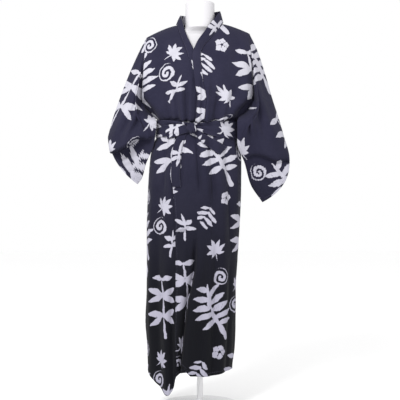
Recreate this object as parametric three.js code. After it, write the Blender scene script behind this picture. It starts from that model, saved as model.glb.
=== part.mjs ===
// Cotton yukata robe standing on a limbless dress form with a pole and a round base.
// Millimetres. +Z is up, the wearer faces -Y and the wearer's left is at +X.
import * as THREE from "three";

const clothWall = 1.4;
const seamGap = 0.5;
const seamRoom = 3;
const ridgeRoom = 1.1;
const layerStep = 12;
const collarLift = 4.8;
const beltWall = 2.4;
const beltWidth = 62;
const beltPinch = 0.55;
const beltPinchReach = 0.42;
const beltClear = 5.6;
const armpitZ = 1205;
const armpit = { right: -236, left: 215 };
const shoulderTip = { right: { x: -216, z: 1469 }, left: { x: 199, z: 1486 } };
const neckPoint = { right: { x: -92, z: 1519 }, left: { x: 86, z: 1525 } };
const backNeck = { y: 66 };
const armholeDepth = 45;
const sectionFullness = 0.8;
const overlapTopZ = 1185;
const overlapWidth = 140;
const frontColumns = 11;
const backColumns = 7;
const skirtRows = 9;
const hipZ = 1046;
const hipShare = 0.8;
const collarLevels = [871, 930, 990, 1020, 1046];
const chestLevels = [1225, 1250, 1280, 1315, 1350, 1385];
const waistLevels = [1062, 1078, 1110, 1138, 1147, 1156, 1168, 1180, 1205];
const yokeRows = 7;

// The cloth's outline and depth at each height, from the hem to the armpits.
const rings = [
  { z: 30, left: 122, right: -208, front: 112, back: 112 },
  { z: 157, left: 126, right: -209, front: 114, back: 114 },
  { z: 245, left: 138, right: -212, front: 118, back: 118 },
  { z: 341, left: 141, right: -219, front: 120, back: 120 },
  { z: 461, left: 141, right: -213, front: 120, back: 121 },
  { z: 581, left: 148, right: -212, front: 122, back: 124 },
  { z: 701, left: 156, right: -212, front: 125, back: 128 },
  { z: 869, left: 165, right: -208, front: 127, back: 132 },
  { z: 980, left: 166, right: -200, front: 120, back: 124 },
  { z: 1046, left: 160, right: -186, front: 107, back: 105 },
  { z: 1078, left: 150, right: -170, front: 97, back: 91 },
  { z: 1110, left: 148, right: -167, front: 95, back: 88 },
  { z: 1138, left: 150, right: -170, front: 97, back: 90 },
  { z: 1156, left: 172, right: -190, front: 110, back: 103 },
  { z: 1180, left: 198, right: -216, front: 118, back: 111 },
  { z: 1205, left: 215, right: -236, front: 118, back: 112 },
];

// Free edges of the two fronts: the wearer's left front lies over the right one.
const topEdge = [
  { z: 30, x: -88 },
  { z: 178, x: -89 },
  { z: 279, x: -97 },
  { z: 434, x: -93 },
  { z: 701, x: -95 },
  { z: 871, x: -103 },
  { z: 918, x: -107 },
  { z: 1015, x: -101 },
  { z: 1070, x: -84 },
  { z: 1100, x: -58 },
  { z: 1130, x: -30 },
  { z: 1165, x: -14 },
  { z: 1210, x: -8 },
  { z: 1280, x: -19 },
  { z: 1374, x: -28 },
  { z: 1417, x: -29 },
];
const underEdge = [
  { z: 30, x: 84 },
  { z: 434, x: 84 },
  { z: 871, x: 84 },
  { z: 1096, x: 74 },
  { z: 1210, x: 52 },
  { z: 1307, x: 14 },
  { z: 1374, x: -12 },
  { z: 1417, x: -29 },
];
const collarWidth = 26;

// Hem heights along x.
const topHem = [
  { x: -92, z: 175 },
  { x: -68, z: 170 },
  { x: -48, z: 148 },
  { x: -36, z: 137 },
  { x: 28, z: 134 },
  { x: 90, z: 146 },
  { x: 122, z: 152 },
];
const underHem = [
  { x: -208, z: 150 },
  { x: -200, z: 134 },
  { x: -172, z: 98 },
  { x: -125, z: 58 },
  { x: -104, z: 90 },
  { x: -92, z: 134 },
  { x: -60, z: 150 },
  { x: 84, z: 156 },
];
const backHem = [
  { x: -208, z: 150 },
  { x: -100, z: 164 },
  { x: 0, z: 160 },
  { x: 122, z: 152 },
];

// Largest folds of the fronts and the back: a soft ridge (+) or trough (-) between two points.
const frontFolds = [
  { x0: -22, z0: 700, x1: -78, z1: 170, width: 20, depth: -11 },
  { x0: -70, z0: 720, x1: -96, z1: 170, width: 18, depth: 5 },
  { x0: 14, z0: 1060, x1: 30, z1: 700, width: 22, depth: 7 },
  { x0: 72, z0: 1050, x1: 82, z1: 260, width: 26, depth: -8 },
  { x0: 118, z0: 1000, x1: 108, z1: 180, width: 18, depth: 6 },
  { x0: -150, z0: 1040, x1: -160, z1: 120, width: 22, depth: -8 },
  { x0: -186, z0: 900, x1: -190, z1: 160, width: 14, depth: 6 },
  { x0: -90, z0: 1150, x1: -100, z1: 1290, width: 12, depth: 6 },
  { x0: -48, z0: 1140, x1: -46, z1: 1260, width: 9, depth: -6 },
  { x0: 18, z0: 1140, x1: 10, z1: 1290, width: 10, depth: -6 },
  { x0: 62, z0: 1140, x1: 58, z1: 1260, width: 12, depth: 6 },
  { x0: -226, z0: 1215, x1: -150, z1: 1132, width: 16, depth: -14 },
  { x0: 200, z0: 1200, x1: 104, z1: 1128, width: 15, depth: -12 },
];
const backFolds = [
  { x0: -24, z0: 1060, x1: -30, z1: 180, width: 20, depth: -9 },
  { x0: 40, z0: 1040, x1: 66, z1: 300, width: 24, depth: 8 },
  { x0: -96, z0: 1050, x1: -120, z1: 160, width: 24, depth: -8 },
  { x0: 108, z0: 1000, x1: 104, z1: 170, width: 18, depth: -7 },
  { x0: -160, z0: 960, x1: -170, z1: 240, width: 18, depth: 7 },
  { x0: -60, z0: 1140, x1: -70, z1: 1300, width: 12, depth: 6 },
  { x0: 20, z0: 1140, x1: 24, z1: 1320, width: 12, depth: -6 },
  { x0: 84, z0: 1140, x1: 92, z1: 1280, width: 12, depth: 6 },
];

// Sleeve stations from the armhole (0) to the cuff: fold along the top and the lower edge.
// peak sets where the outward bulge is largest, and nose brings the lower edge forward.
const sleeves = {
  right: {
    mirror: -1,
    stations: [
      { at: 0, topX: -218, topZ: 1469, lowX: -238.4, lowZ: 1205,
        front: 45, back: 45, centre: 0, bulge: 0, peak: 1, nose: 0 },
      { at: 0.5, topX: -234, topZ: 1434, lowX: -235, lowZ: 1150,
        front: 52, back: 48, centre: -2, bulge: 16, peak: 2, nose: -20 },
      { at: 1, topX: -250, topZ: 1398, lowX: -184, lowZ: 1110,
        front: 58, back: 50, centre: -4, bulge: 62, peak: 3, nose: -72 },
      { at: 2, topX: -288, topZ: 1311, lowX: -190, lowZ: 1044,
        front: 64, back: 54, centre: -6, bulge: 10, peak: 2, nose: -54 },
      { at: 3, topX: -322, topZ: 1222, lowX: -214, lowZ: 966,
        front: 64, back: 54, centre: -8, bulge: 6, peak: 1, nose: -20 },
      { at: 4, topX: -350, topZ: 1140, lowX: -232, lowZ: 908,
        front: 62, back: 42, centre: -8, bulge: 14, peak: 1, nose: -8 },
      { at: 5, topX: -368, topZ: 1074, lowX: -250, lowZ: 884,
        front: 56, back: 36, centre: -8, bulge: 22, peak: 1, nose: 0 },
    ],
    tuck: [
      { w: 0, at: 5.4 },
      { w: 0.2, at: 5.2 },
      { w: 0.36, at: 4.55 },
      { w: 0.5, at: 3.7 },
      { w: 0.62, at: 2.9 },
      { w: 0.81, at: 2.1 },
      { w: 1, at: 1.7 },
    ],
    tuckDepth: 0.7,
    tuckSoft: 0.5,
  },
  left: {
    mirror: 1,
    stations: [
      { at: 0, topX: 201, topZ: 1486, lowX: 217.4, lowZ: 1205,
        front: 45, back: 45, centre: 0, bulge: 0, peak: 1, nose: 0 },
      { at: 0.5, topX: 215, topZ: 1453, lowX: 214, lowZ: 1152,
        front: 52, back: 48, centre: -2, bulge: 16, peak: 2, nose: -24 },
      { at: 1, topX: 229, topZ: 1418, lowX: 160, lowZ: 1110,
        front: 58, back: 50, centre: -4, bulge: 70, peak: 3, nose: -96 },
      { at: 2, topX: 261, topZ: 1322, lowX: 146, lowZ: 1048,
        front: 64, back: 52, centre: -6, bulge: 14, peak: 2, nose: -88 },
      { at: 3, topX: 289, topZ: 1226, lowX: 178, lowZ: 966,
        front: 64, back: 50, centre: -8, bulge: 8, peak: 1, nose: -30 },
      { at: 4, topX: 318, topZ: 1136, lowX: 202, lowZ: 884,
        front: 60, back: 46, centre: -8, bulge: 28, peak: 1, nose: -8 },
      { at: 5, topX: 342, topZ: 1052, lowX: 250, lowZ: 812,
        front: 52, back: 40, centre: -8, bulge: 48, peak: 1, nose: 0 },
    ],
    tuck: [
      { w: 0, at: 5.6 },
      { w: 0.28, at: 4.75 },
      { w: 0.5, at: 4.1 },
      { w: 0.72, at: 3.3 },
      { w: 0.86, at: 2.9 },
      { w: 1, at: 2.8 },
    ],
    tuckDepth: 0.25,
    tuckSoft: 0.4,
  },
};

// Collar round the neck, from the right shoulder over the back to the left front.
const collarNeck = [
  { freeX: -29, freeY: -93, freeZ: 1420, seamX: -56, seamY: -92, seamZ: 1418 },
  { freeX: -46, freeY: -82, freeZ: 1456, seamX: -69, seamY: -70, seamZ: 1452 },
  { freeX: -62, freeY: -58, freeZ: 1498, seamX: -82, seamY: -44, seamZ: 1488 },
  { freeX: -71, freeY: -26, freeZ: 1534, seamX: -91, seamY: -14, seamZ: 1517 },
  { freeX: -79, freeY: 14, freeZ: 1560, seamX: -93, seamY: 18, seamZ: 1522 },
  { freeX: -62, freeY: 56, freeZ: 1567, seamX: -66, seamY: 62, seamZ: 1521 },
  { freeX: 0, freeY: 77, freeZ: 1576, seamX: 0, seamY: 80, seamZ: 1522 },
  { freeX: 60, freeY: 58, freeZ: 1583, seamX: 64, seamY: 62, seamZ: 1526 },
  { freeX: 80, freeY: 14, freeZ: 1578, seamX: 90, seamY: 18, seamZ: 1530 },
  { freeX: 77, freeY: -16, freeZ: 1566, seamX: 90, seamY: -14, seamZ: 1526 },
  { freeX: 60, freeY: -46, freeZ: 1540, seamX: 80, seamY: -40, seamZ: 1508 },
  { freeX: 38, freeY: -68, freeZ: 1512, seamX: 62, seamY: -62, seamZ: 1484 },
  { freeX: 14, freeY: -85, freeZ: 1478, seamX: 38, seamY: -84, seamZ: 1452 },
  { freeX: -12, freeY: -98, freeZ: 1440, seamX: 14, seamY: -98, seamZ: 1422 },
];

// Dress form: half width, front and back depth at each height.
const formSections = [
  { z: 800, half: 146, front: 92, back: 96 },
  { z: 812, half: 152, front: 98, back: 102 },
  { z: 880, half: 154, front: 104, back: 110 },
  { z: 960, half: 146, front: 100, back: 104 },
  { z: 1040, half: 130, front: 88, back: 86 },
  { z: 1110, half: 120, front: 80, back: 74 },
  { z: 1205, half: 136, front: 92, back: 86 },
  { z: 1290, half: 150, front: 100, back: 88 },
  { z: 1380, half: 164, front: 78, back: 84 },
  { z: 1430, half: 168, front: 60, back: 72 },
  { z: 1462, half: 160, front: 45, back: 54 },
  { z: 1480, half: 134, front: 38, back: 46 },
  { z: 1490, half: 100, front: 40, back: 48 },
  { z: 1498, half: 72, front: 47, back: 53 },
  { z: 1508, half: 60, front: 57, back: 57 },
  { z: 1540, half: 58, front: 56, back: 56 },
  { z: 1602, half: 58, front: 56, back: 56 },
  { z: 1607, half: 56, front: 54, back: 54 },
  { z: 1609, half: 51, front: 49, back: 49 },
];
const formSpin = 32;
const poleRadius = 12;
const poleGap = 0.4;
const baseRadius = 150;
const baseHeight = 12;
const baseChamfer = 3;

// Tail and loop of the belt's knot: centre line, width and direction of the width.
const knotAt = { x: -33, y: -136, z: 1096 };
const beltTail = [
  { x: -22, z: 1090, width: 16, tilt: 62 },
  { x: -4, z: 1076, width: 24, tilt: 56 },
  { x: 22, z: 1056, width: 34, tilt: 52 },
  { x: 52, z: 1037, width: 40, tilt: 50 },
  { x: 92, z: 1014, width: 42, tilt: 48 },
];
const beltLoop = [
  { x: -46, z: 1097, width: 24, tilt: 96 },
  { x: -66, z: 1097, width: 36, tilt: 98 },
  { x: -96, z: 1093, width: 48, tilt: 101 },
  { x: -130, z: 1086, width: 56, tilt: 104 },
];

const clamp = (v, low, high) => Math.min(high, Math.max(low, v));
const mix = (a, b, t) => a + (b - a) * t;
const power = (v, e) => Math.pow(Math.max(v, 0), e);

function smoothStep(low, high, v) {
  const t = clamp((v - low) / (high - low), 0, 1);
  return t * t * (3 - 2 * t);
}

// Smooth curve through one column of a table whose key column increases.
function along(table, key, at, column) {
  const last = table.length - 1;
  const p = clamp(at, table[0][key], table[last][key]);
  let i = 0;
  while (i < last - 1 && p > table[i + 1][key]) i += 1;
  const k = (n) => table[n][key];
  const v = (n) => table[n][column];
  const slope = (n) => {
    if (n === 0) return (v(1) - v(0)) / (k(1) - k(0));
    if (n === last) return (v(last) - v(last - 1)) / (k(last) - k(last - 1));
    const before = (v(n) - v(n - 1)) / (k(n) - k(n - 1));
    const after = (v(n + 1) - v(n)) / (k(n + 1) - k(n));
    if (before * after <= 0) return 0;
    return (2 * before * after) / (before + after);
  };
  const span = k(i + 1) - k(i);
  const t = (p - k(i)) / span;
  const h = t * t * (3 - 2 * t);
  const bendStart = t * (1 - t) * (1 - t) * span * slope(i);
  const bendEnd = t * t * (t - 1) * span * slope(i + 1);
  return mix(v(i), v(i + 1), h) + bendStart + bendEnd;
}

// Height of the shoulder ridge, which the neck opening cuts between the two neck points.
function ridgeZ(x) {
  if (x < neckPoint.right.x) {
    const t = (x - neckPoint.right.x) / (shoulderTip.right.x - neckPoint.right.x);
    return mix(neckPoint.right.z, shoulderTip.right.z, power(Math.min(t, 1), 1.35));
  }
  if (x > neckPoint.left.x) {
    const t = (x - neckPoint.left.x) / (shoulderTip.left.x - neckPoint.left.x);
    return mix(neckPoint.left.z, shoulderTip.left.z, power(Math.min(t, 1), 1.35));
  }
  const t = (x - neckPoint.right.x) / (neckPoint.left.x - neckPoint.right.x);
  const dip = Math.sin(Math.PI * t);
  return mix(neckPoint.right.z, neckPoint.left.z, t) - 6 * dip;
}

function ridgeY(x, side) {
  if (side < 0 || x < neckPoint.right.x || x > neckPoint.left.x) return 5;
  const t = (x - neckPoint.right.x) / (neckPoint.left.x - neckPoint.right.x);
  return 5 + (backNeck.y - 5) * power(Math.sin(Math.PI * t), 0.75);
}

function ringAt(z) {
  const left = along(rings, "z", z, "left");
  const right = along(rings, "z", z, "right");
  return {
    centre: (left + right) / 2,
    half: (left - right) / 2,
    front: along(rings, "z", z, "front"),
    back: along(rings, "z", z, "back"),
  };
}

function foldAt(table, x, z) {
  let sum = 0;
  for (const f of table) {
    const low = Math.min(f.z0, f.z1);
    const high = Math.max(f.z0, f.z1);
    const t = clamp((z - f.z0) / (f.z1 - f.z0), 0, 1);
    const away = (x - mix(f.x0, f.x1, t)) / f.width;
    const fade = Math.min(60, (high - low) / 3);
    const ends = smoothStep(low - fade, low + fade, z) - smoothStep(high - fade, high + fade, z);
    sum += f.depth * Math.exp(-away * away) * ends;
  }
  return sum;
}

// Depth of the cloth at x and z. side is -1 on the front and 1 on the back.
function clothY(x, z, side, lift) {
  const ring = ringAt(Math.min(z, armpitZ));
  const v = z > armpitZ ? clamp((z - armpitZ) / (ridgeZ(x) - armpitZ), 0, 1) : 0;
  const left = ring.centre + ring.half - (armpit.left - shoulderTip.left.x) * v;
  const right = ring.centre - ring.half - (armpit.right - shoulderTip.right.x) * v;
  const t = clamp((2 * x - left - right) / (left - right), -1, 1);
  const round = power(1 - t * t, sectionFullness / 2);
  const deep = side < 0 ? ring.front : ring.back;
  const folds = foldAt(side < 0 ? frontFolds : backFolds, x, z) * power(1 - t * t, 0.5);
  const profile = side < 0 ? power(1 - v * v, 0.62) : power(1 - v * v * v, 0.7);
  const armhole = armholeDepth * power(Math.sin(Math.PI * v), 0.75) * (1 - round);
  const middle = side * ridgeY(x, side) * Math.pow(v, 4) + ridgeRoom * v;
  return side * (deep * round * profile + armhole + middle + (folds + lift) * Math.min(1, 12 * (1 - v)));
}

function topLift(x) {
  return layerStep * smoothStep(160, 100, x);
}

// Height of a row of the skirt: 0 at the hem, hipShare at the hips and 1 at the armpits.
function skirtZ(hemZ, row) {
  if (row < hipShare) return mix(hemZ, hipZ, row / hipShare);
  return mix(hipZ, armpitZ, (row - hipShare) / (1 - hipShare));
}

// Point of one half of the body. u runs from the side seam to the inner edge.
function bodyPoint(panel, u, row) {
  const base = ringAt(armpitZ);
  const sideX = panel.wing < 0 ? armpit.right : armpit.left;
  if (row <= 1) {
    const turn = (z) => {
      const ring = ringAt(z);
      const inner = clamp((panel.inner(z) - ring.centre) / ring.half, -0.999, 0.999);
      const angle = mix((panel.wing * Math.PI) / 2, Math.asin(inner), u);
      return ring.centre + ring.half * Math.sin(angle);
    };
    const hemZ = along(panel.hem, "x", turn(140), "z");
    const z = skirtZ(hemZ, row);
    const x = turn(z);
    return new THREE.Vector3(x, clothY(x, z, panel.side, panel.lift(x)), z);
  }
  const v = row - 1;
  const innerAngle = Math.asin(clamp((panel.inner(armpitZ) - base.centre) / base.half, -1, 1));
  const sideAngle = (panel.wing * Math.PI) / 2;
  const angle = mix(sideAngle, innerAngle, u);
  const share = (Math.sin(angle) - Math.sin(sideAngle)) / (Math.sin(innerAngle) - Math.sin(sideAngle));
  const tip = panel.wing < 0 ? shoulderTip.right : shoulderTip.left;
  let innerX = panel.inner(armpitZ);
  for (let i = 0; i < 12; i += 1) {
    innerX = panel.inner(mix(armpitZ, ridgeZ(innerX), v));
  }
  const x = mix(mix(sideX, tip.x, v), innerX, share);
  const z = mix(armpitZ, ridgeZ(x), v);
  return new THREE.Vector3(x, clothY(x, z, panel.side, panel.lift(x)), z);
}

// Closed wall of even thickness about a grid of points, grid[row][column].
function wall(grid, thickness, looped) {
  const rows = grid.length;
  const columns = grid[0].length;
  const points = [];
  const across = (c) => (looped ? (c + columns) % columns : clamp(c, 0, columns - 1));
  const at = (r, c) => grid[clamp(r, 0, rows - 1)][across(c)];
  for (const sign of [1, -1]) {
    for (let r = 0; r < rows; r += 1) {
      for (let c = 0; c < columns; c += 1) {
        const across = at(r, c + 1).clone().sub(at(r, c - 1));
        const up = at(r + 1, c).clone().sub(at(r - 1, c));
        const normal = across.cross(up).normalize();
        const p = at(r, c).clone().addScaledVector(normal, (sign * thickness) / 2);
        points.push(p.x, p.y, p.z);
      }
    }
  }
  const skin = rows * columns;
  const faces = [];
  const quad = (a, b, c, d) => faces.push(a, b, c, a, c, d);
  const next = (c) => (looped ? (c + 1) % columns : c + 1);
  const lastColumn = looped ? columns : columns - 1;
  for (let r = 0; r < rows - 1; r += 1) {
    for (let c = 0; c < lastColumn; c += 1) {
      const a = r * columns + c;
      const b = r * columns + next(c);
      quad(a, b, b + columns, a + columns);
      quad(skin + a, skin + a + columns, skin + b + columns, skin + b);
    }
  }
  const top = (rows - 1) * columns;
  for (let c = 0; c < lastColumn; c += 1) {
    quad(c, skin + c, skin + next(c), next(c));
    quad(top + c, top + next(c), skin + top + next(c), skin + top + c);
  }
  if (!looped) {
    for (let r = 0; r < rows - 1; r += 1) {
      const a = r * columns;
      const b = a + columns - 1;
      quad(a, a + columns, skin + a + columns, skin + a);
      quad(b, skin + b, skin + b + columns, b + columns);
    }
  }
  return facing(points, faces);
}

// Geometry whose faces are turned outwards.
function facing(points, faces) {
  let volume = 0;
  const p = (i) => new THREE.Vector3(points[3 * i], points[3 * i + 1], points[3 * i + 2]);
  for (let i = 0; i < faces.length; i += 3) {
    volume += p(faces[i]).dot(p(faces[i + 1]).cross(p(faces[i + 2])));
  }
  if (volume < 0) faces.reverse();
  const geometry = new THREE.BufferGeometry();
  geometry.setAttribute("position", new THREE.Float32BufferAttribute(points, 3));
  geometry.setIndex(faces);
  geometry.computeVertexNormals();
  return geometry;
}

function material(name, color, roughness) {
  const made = new THREE.MeshStandardMaterial({ color, roughness, metalness: 0 });
  made.name = name;
  return made;
}

const robe = new THREE.Group();
robe.name = "yukata_robe";

function add(name, geometry, color, roughness) {
  const mesh = new THREE.Mesh(geometry, material(name, color, roughness));
  mesh.name = name;
  robe.add(mesh);
}

const navy = 0x23243a;
const white = 0xe9e8ea;

function seamShift(z) {
  return mix(overlapWidth, 6, smoothStep(900, overlapTopZ, z));
}

function freeX(edge, z) {
  return along(edge, "z", z, "x");
}

// Inner edge of a front above the overlap panel: the seam under the collar.
function frontInner(wing, z) {
  const edge = wing > 0 ? topEdge : underEdge;
  const neckTable = wing > 0 ? collarNeck.slice(9).reverse() : collarNeck.slice(0, 4);
  const startZ = neckTable[0].seamZ;
  if (z < startZ) {
    const lower = freeX(edge, z) + wing * collarWidth;
    const join = neckTable[0].seamX;
    return mix(lower, join, smoothStep(startZ - 60, startZ, z));
  }
  const point = wing > 0 ? neckPoint.left : neckPoint.right;
  return mix(neckTable[0].seamX, point.x, power((z - startZ) / (point.z - startZ), 1));
}

function panelGrid(panel, columns, rowList, from, to) {
  return rowList.map((row) => {
    const line = [];
    for (let c = 0; c <= columns; c += 1) {
      line.push(bodyPoint(panel, mix(from, to, c / columns), row));
    }
    return line;
  });
}

function rowList(rows, upper) {
  const list = [];
  for (let r = 0; r <= rows; r += 1) list.push((hipShare * r) / rows);
  for (const z of waistLevels) list.push(mix(hipShare, 1, (z - hipZ) / (armpitZ - hipZ)));
  for (let r = 1; r <= upper; r += 1) {
    const share = Math.sin((r / upper) * 1.45) / Math.sin(1.45);
    list.push(1 + share);
  }
  return list;
}

function frontPanel(wing) {
  const top = wing > 0;
  const edge = top ? topEdge : underEdge;
  const panel = {
    wing,
    side: -1,
    hem: top ? topHem : underHem,
    lift: (x) => (top ? topLift(x) : 0),
    inner: (z) => {
      if (z > overlapTopZ) return frontInner(wing, z);
      return freeX(edge, z) + wing * (collarWidth + Math.max(seamShift(z) - collarWidth, 0));
    },
  };
  return wall(panelGrid(panel, frontColumns, rowList(skirtRows, yokeRows), 0.003, 1), clothWall, false);
}

function overlapPanel(wing) {
  const top = wing > 0;
  const edge = top ? topEdge : underEdge;
  const hem = top ? topHem : underHem;
  const grid = [];
  const levels = rowList(skirtRows, 0).filter((row) => skirtZ(0, row) < 1126);
  for (const row of levels) {
    const line = [];
    for (let c = 0; c <= 8; c += 1) {
      const hemX = freeX(edge, 140) + wing * mix(0, overlapWidth - seamRoom, c / 8);
      const z = skirtZ(along(hem, "x", hemX, "z"), row);
      const width = seamShift(z) - seamRoom;
      const x = freeX(edge, z) + wing * mix(0, width, c / 8);
      line.push(new THREE.Vector3(x, clothY(x, z, -1, top ? topLift(x) : 0), z));
    }
    grid.push(line);
  }
  return wall(grid, clothWall, false);
}

function backPanel(wing) {
  const panel = {
    wing,
    side: 1,
    hem: backHem,
    lift: () => 0,
    inner: () => wing * (seamGap / 2 + 0.1),
  };
  return wall(panelGrid(panel, backColumns, rowList(skirtRows, yokeRows), 0.003, 1), clothWall, false);
}

// Collar: lies on the lower fronts and stands round the neck.
function collarBand() {
  const stations = [];
  const low = (wing, z) => {
    const edge = wing > 0 ? topEdge : underEdge;
    const free = freeX(edge, z);
    const seam = free + wing * (collarWidth + 6);
    const lift = (wing > 0 ? layerStep : 0) + collarLift;
    return [free - wing * 0.6, seam].map((x) => new THREE.Vector3(x, clothY(x, z, -1, lift), z));
  };
  const levels = collarLevels.concat(waistLevels, chestLevels);
  const curve = (kind) => {
    const points = collarNeck.map((n) => new THREE.Vector3(n[kind + "X"], n[kind + "Y"], n[kind + "Z"]));
    return new THREE.CatmullRomCurve3(points, false, "centripetal");
  };
  const free = curve("free");
  const seam = curve("seam");
  for (const z of levels) stations.push(low(-1, z));
  const count = 34;
  for (let i = 0; i <= count; i += 1) stations.push([free.getPoint(i / count), seam.getPoint(i / count)]);
  for (const z of levels.slice().reverse()) stations.push(low(1, z));
  const grid = stations.map(([a, b]) => [0, 0.5, 1].map((s) => a.clone().lerp(b, s)));
  return wall(grid, clothWall, false);
}

// Point of a sleeve: at runs from the armhole to the cuff, w from the top fold to the lower edge.
function sleevePoint(sleeve, at, w, side) {
  const get = (column) => along(sleeve.stations, "at", at, column);
  const lens = power(Math.sin(Math.PI * w), 0.75);
  const peak = get("peak");
  const out = (get("bulge") * power(w, peak) * (1 - w) * power(peak + 1, peak + 1)) / power(peak, peak);
  const x = mix(get("topX"), get("lowX"), w) + sleeve.mirror * out;
  const z = mix(get("topZ"), get("lowZ"), w) - 0.45 * out;
  let depth = side < 0 ? get("front") : get("back");
  if (side < 0) {
    const line = along(sleeve.tuck, "w", w, "at");
    depth *= 1 - sleeve.tuckDepth * smoothStep(line - sleeve.tuckSoft, line + sleeve.tuckSoft, at);
  }
  const y = get("centre") * lens + side * depth * lens + get("nose") * w * w * smoothStep(0, 1, at);
  return new THREE.Vector3(x, y, z);
}

function sleeveTube(sleeve) {
  const rows = 12;
  const half = 8;
  const grid = [];
  for (let r = 0; r <= rows; r += 1) {
    const at = (r / rows) * 5;
    const line = [];
    for (let c = 0; c < 2 * half; c += 1) {
      const turn = c / half;
      const w = (1 - Math.cos(Math.PI * (turn <= 1 ? turn : 2 - turn))) / 2;
      line.push(sleevePoint(sleeve, at, w, turn <= 1 ? -1 : 1));
    }
    grid.push(line);
  }
  return wall(grid, clothWall, true);
}

function beltRing() {
  const grid = [];
  const columns = 40;
  for (let r = 0; r <= 2; r += 1) {
    const line = [];
    for (let c = 0; c < columns; c += 1) {
      const turn = (c / columns) * 2 * Math.PI;
      const side = Math.cos(turn) < 0 ? -1 : 1;
      const near = Math.exp(-Math.pow((turn - Math.PI - 0.14) / beltPinchReach, 2));
      const slant = 1101 - 4.5 * Math.sin(turn) + 6 * near;
      const z = slant + (r / 2 - 0.5) * beltWidth * (1 - beltPinch * near);
      const ring = ringAt(1110);
      const grow = beltClear + beltWall + (layerStep * (1 - Math.cos(turn))) / 2;
      const x = ring.centre + (ring.half + grow) * Math.sin(turn);
      const deep = (side < 0 ? ring.front : ring.back) + grow;
      const y = side * deep * power(Math.abs(Math.cos(turn)), sectionFullness);
      const puff = 4 * Math.abs(r - 1);
      line.push(new THREE.Vector3(x + puff * Math.sin(turn), y + side * puff * Math.abs(Math.cos(turn)), z));
    }
    grid.push(line);
  }
  return wall(grid, beltWall, true);
}

function beltRibbon(table, away, steps) {
  const grid = [];
  const list = table.map((row, i) => ({ ...row, at: i }));
  for (let i = 0; i <= steps; i += 1) {
    const at = (i / steps) * (table.length - 1);
    const get = (column) => along(list, "at", at, column);
    const tilt = THREE.MathUtils.degToRad(get("tilt"));
    const line = [];
    for (let c = 0; c <= 4; c += 1) {
      const off = (c / 4 - 0.5) * get("width");
      const x = get("x") + off * Math.cos(tilt);
      const z = get("z") + off * Math.sin(tilt);
      const ring = ringAt(1110);
      const grow = layerStep + beltClear + beltWall + away;
      const t = (x - ring.centre) / (ring.half + grow);
      const overBelt = (ring.front + grow) * power(1 - t * t, sectionFullness / 2);
      const overCloth = -clothY(x, z, -1, topLift(x) + collarLift + beltClear + away - 2);
      line.push(new THREE.Vector3(x, -Math.max(overBelt, overCloth), z));
    }
    grid.push(line);
  }
  return wall(grid, beltWall, false);
}

function beltKnot() {
  const shape = new THREE.SphereGeometry(1, 16, 10);
  shape.scale(17, 11, 22);
  shape.rotateY(THREE.MathUtils.degToRad(-20));
  shape.translate(knotAt.x, knotAt.y, knotAt.z + 2);
  return shape;
}

function formBody() {
  const points = [];
  const faces = [];
  const rows = [];
  for (const s of formSections) rows.push(s);
  for (const s of rows) {
    for (let c = 0; c < formSpin; c += 1) {
      const turn = (c / formSpin) * 2 * Math.PI;
      const deep = Math.cos(turn) < 0 ? s.front : s.back;
      points.push(s.half * Math.sin(turn), deep * Math.cos(turn), s.z);
    }
  }
  for (let r = 0; r < rows.length - 1; r += 1) {
    for (let c = 0; c < formSpin; c += 1) {
      const a = r * formSpin + c;
      const b = r * formSpin + ((c + 1) % formSpin);
      faces.push(a, b, b + formSpin, a, b + formSpin, a + formSpin);
    }
  }
  const low = points.length / 3;
  points.push(0, 0, rows[0].z, 0, 0, rows[rows.length - 1].z);
  const last = (rows.length - 1) * formSpin;
  for (let c = 0; c < formSpin; c += 1) {
    const d = (c + 1) % formSpin;
    faces.push(low, d, c, low + 1, last + c, last + d);
  }
  return facing(points, faces);
}

function formPole() {
  const low = baseHeight + poleGap;
  const high = formSections[0].z - poleGap;
  const pole = new THREE.CylinderGeometry(poleRadius, poleRadius, high - low, 32);
  pole.rotateX(Math.PI / 2);
  pole.translate(0, 0, (low + high) / 2);
  return pole;
}

function formBase() {
  const profile = [
    new THREE.Vector2(0, 0),
    new THREE.Vector2(baseRadius, 0),
    new THREE.Vector2(baseRadius, baseHeight - baseChamfer),
    new THREE.Vector2(baseRadius - baseChamfer, baseHeight),
    new THREE.Vector2(0, baseHeight),
  ];
  const base = new THREE.LatheGeometry(profile, 64);
  base.rotateX(Math.PI / 2);
  return base;
}

add("front_panel_left", frontPanel(1), navy, 0.85);
add("front_panel_right", frontPanel(-1), navy, 0.85);
add("overlap_panel_left", overlapPanel(1), navy, 0.85);
add("overlap_panel_right", overlapPanel(-1), navy, 0.85);
add("back_panel_left", backPanel(1), navy, 0.85);
add("back_panel_right", backPanel(-1), navy, 0.85);
add("collar_band", collarBand(), navy, 0.85);
add("sleeve_right", sleeveTube(sleeves.right), navy, 0.85);
add("sleeve_left", sleeveTube(sleeves.left), navy, 0.85);
add("belt_band", beltRing(), navy, 0.85);
add("belt_knot", beltKnot(), navy, 0.85);
add("belt_tail", beltRibbon(beltTail, 6, 12), navy, 0.85);
add("belt_loop", beltRibbon(beltLoop, 6, 10), navy, 0.85);
add("form_body", formBody(), white, 0.5);
add("form_pole", formPole(), white, 0.4);
add("form_base", formBase(), white, 0.4);

export default robe;
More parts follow.
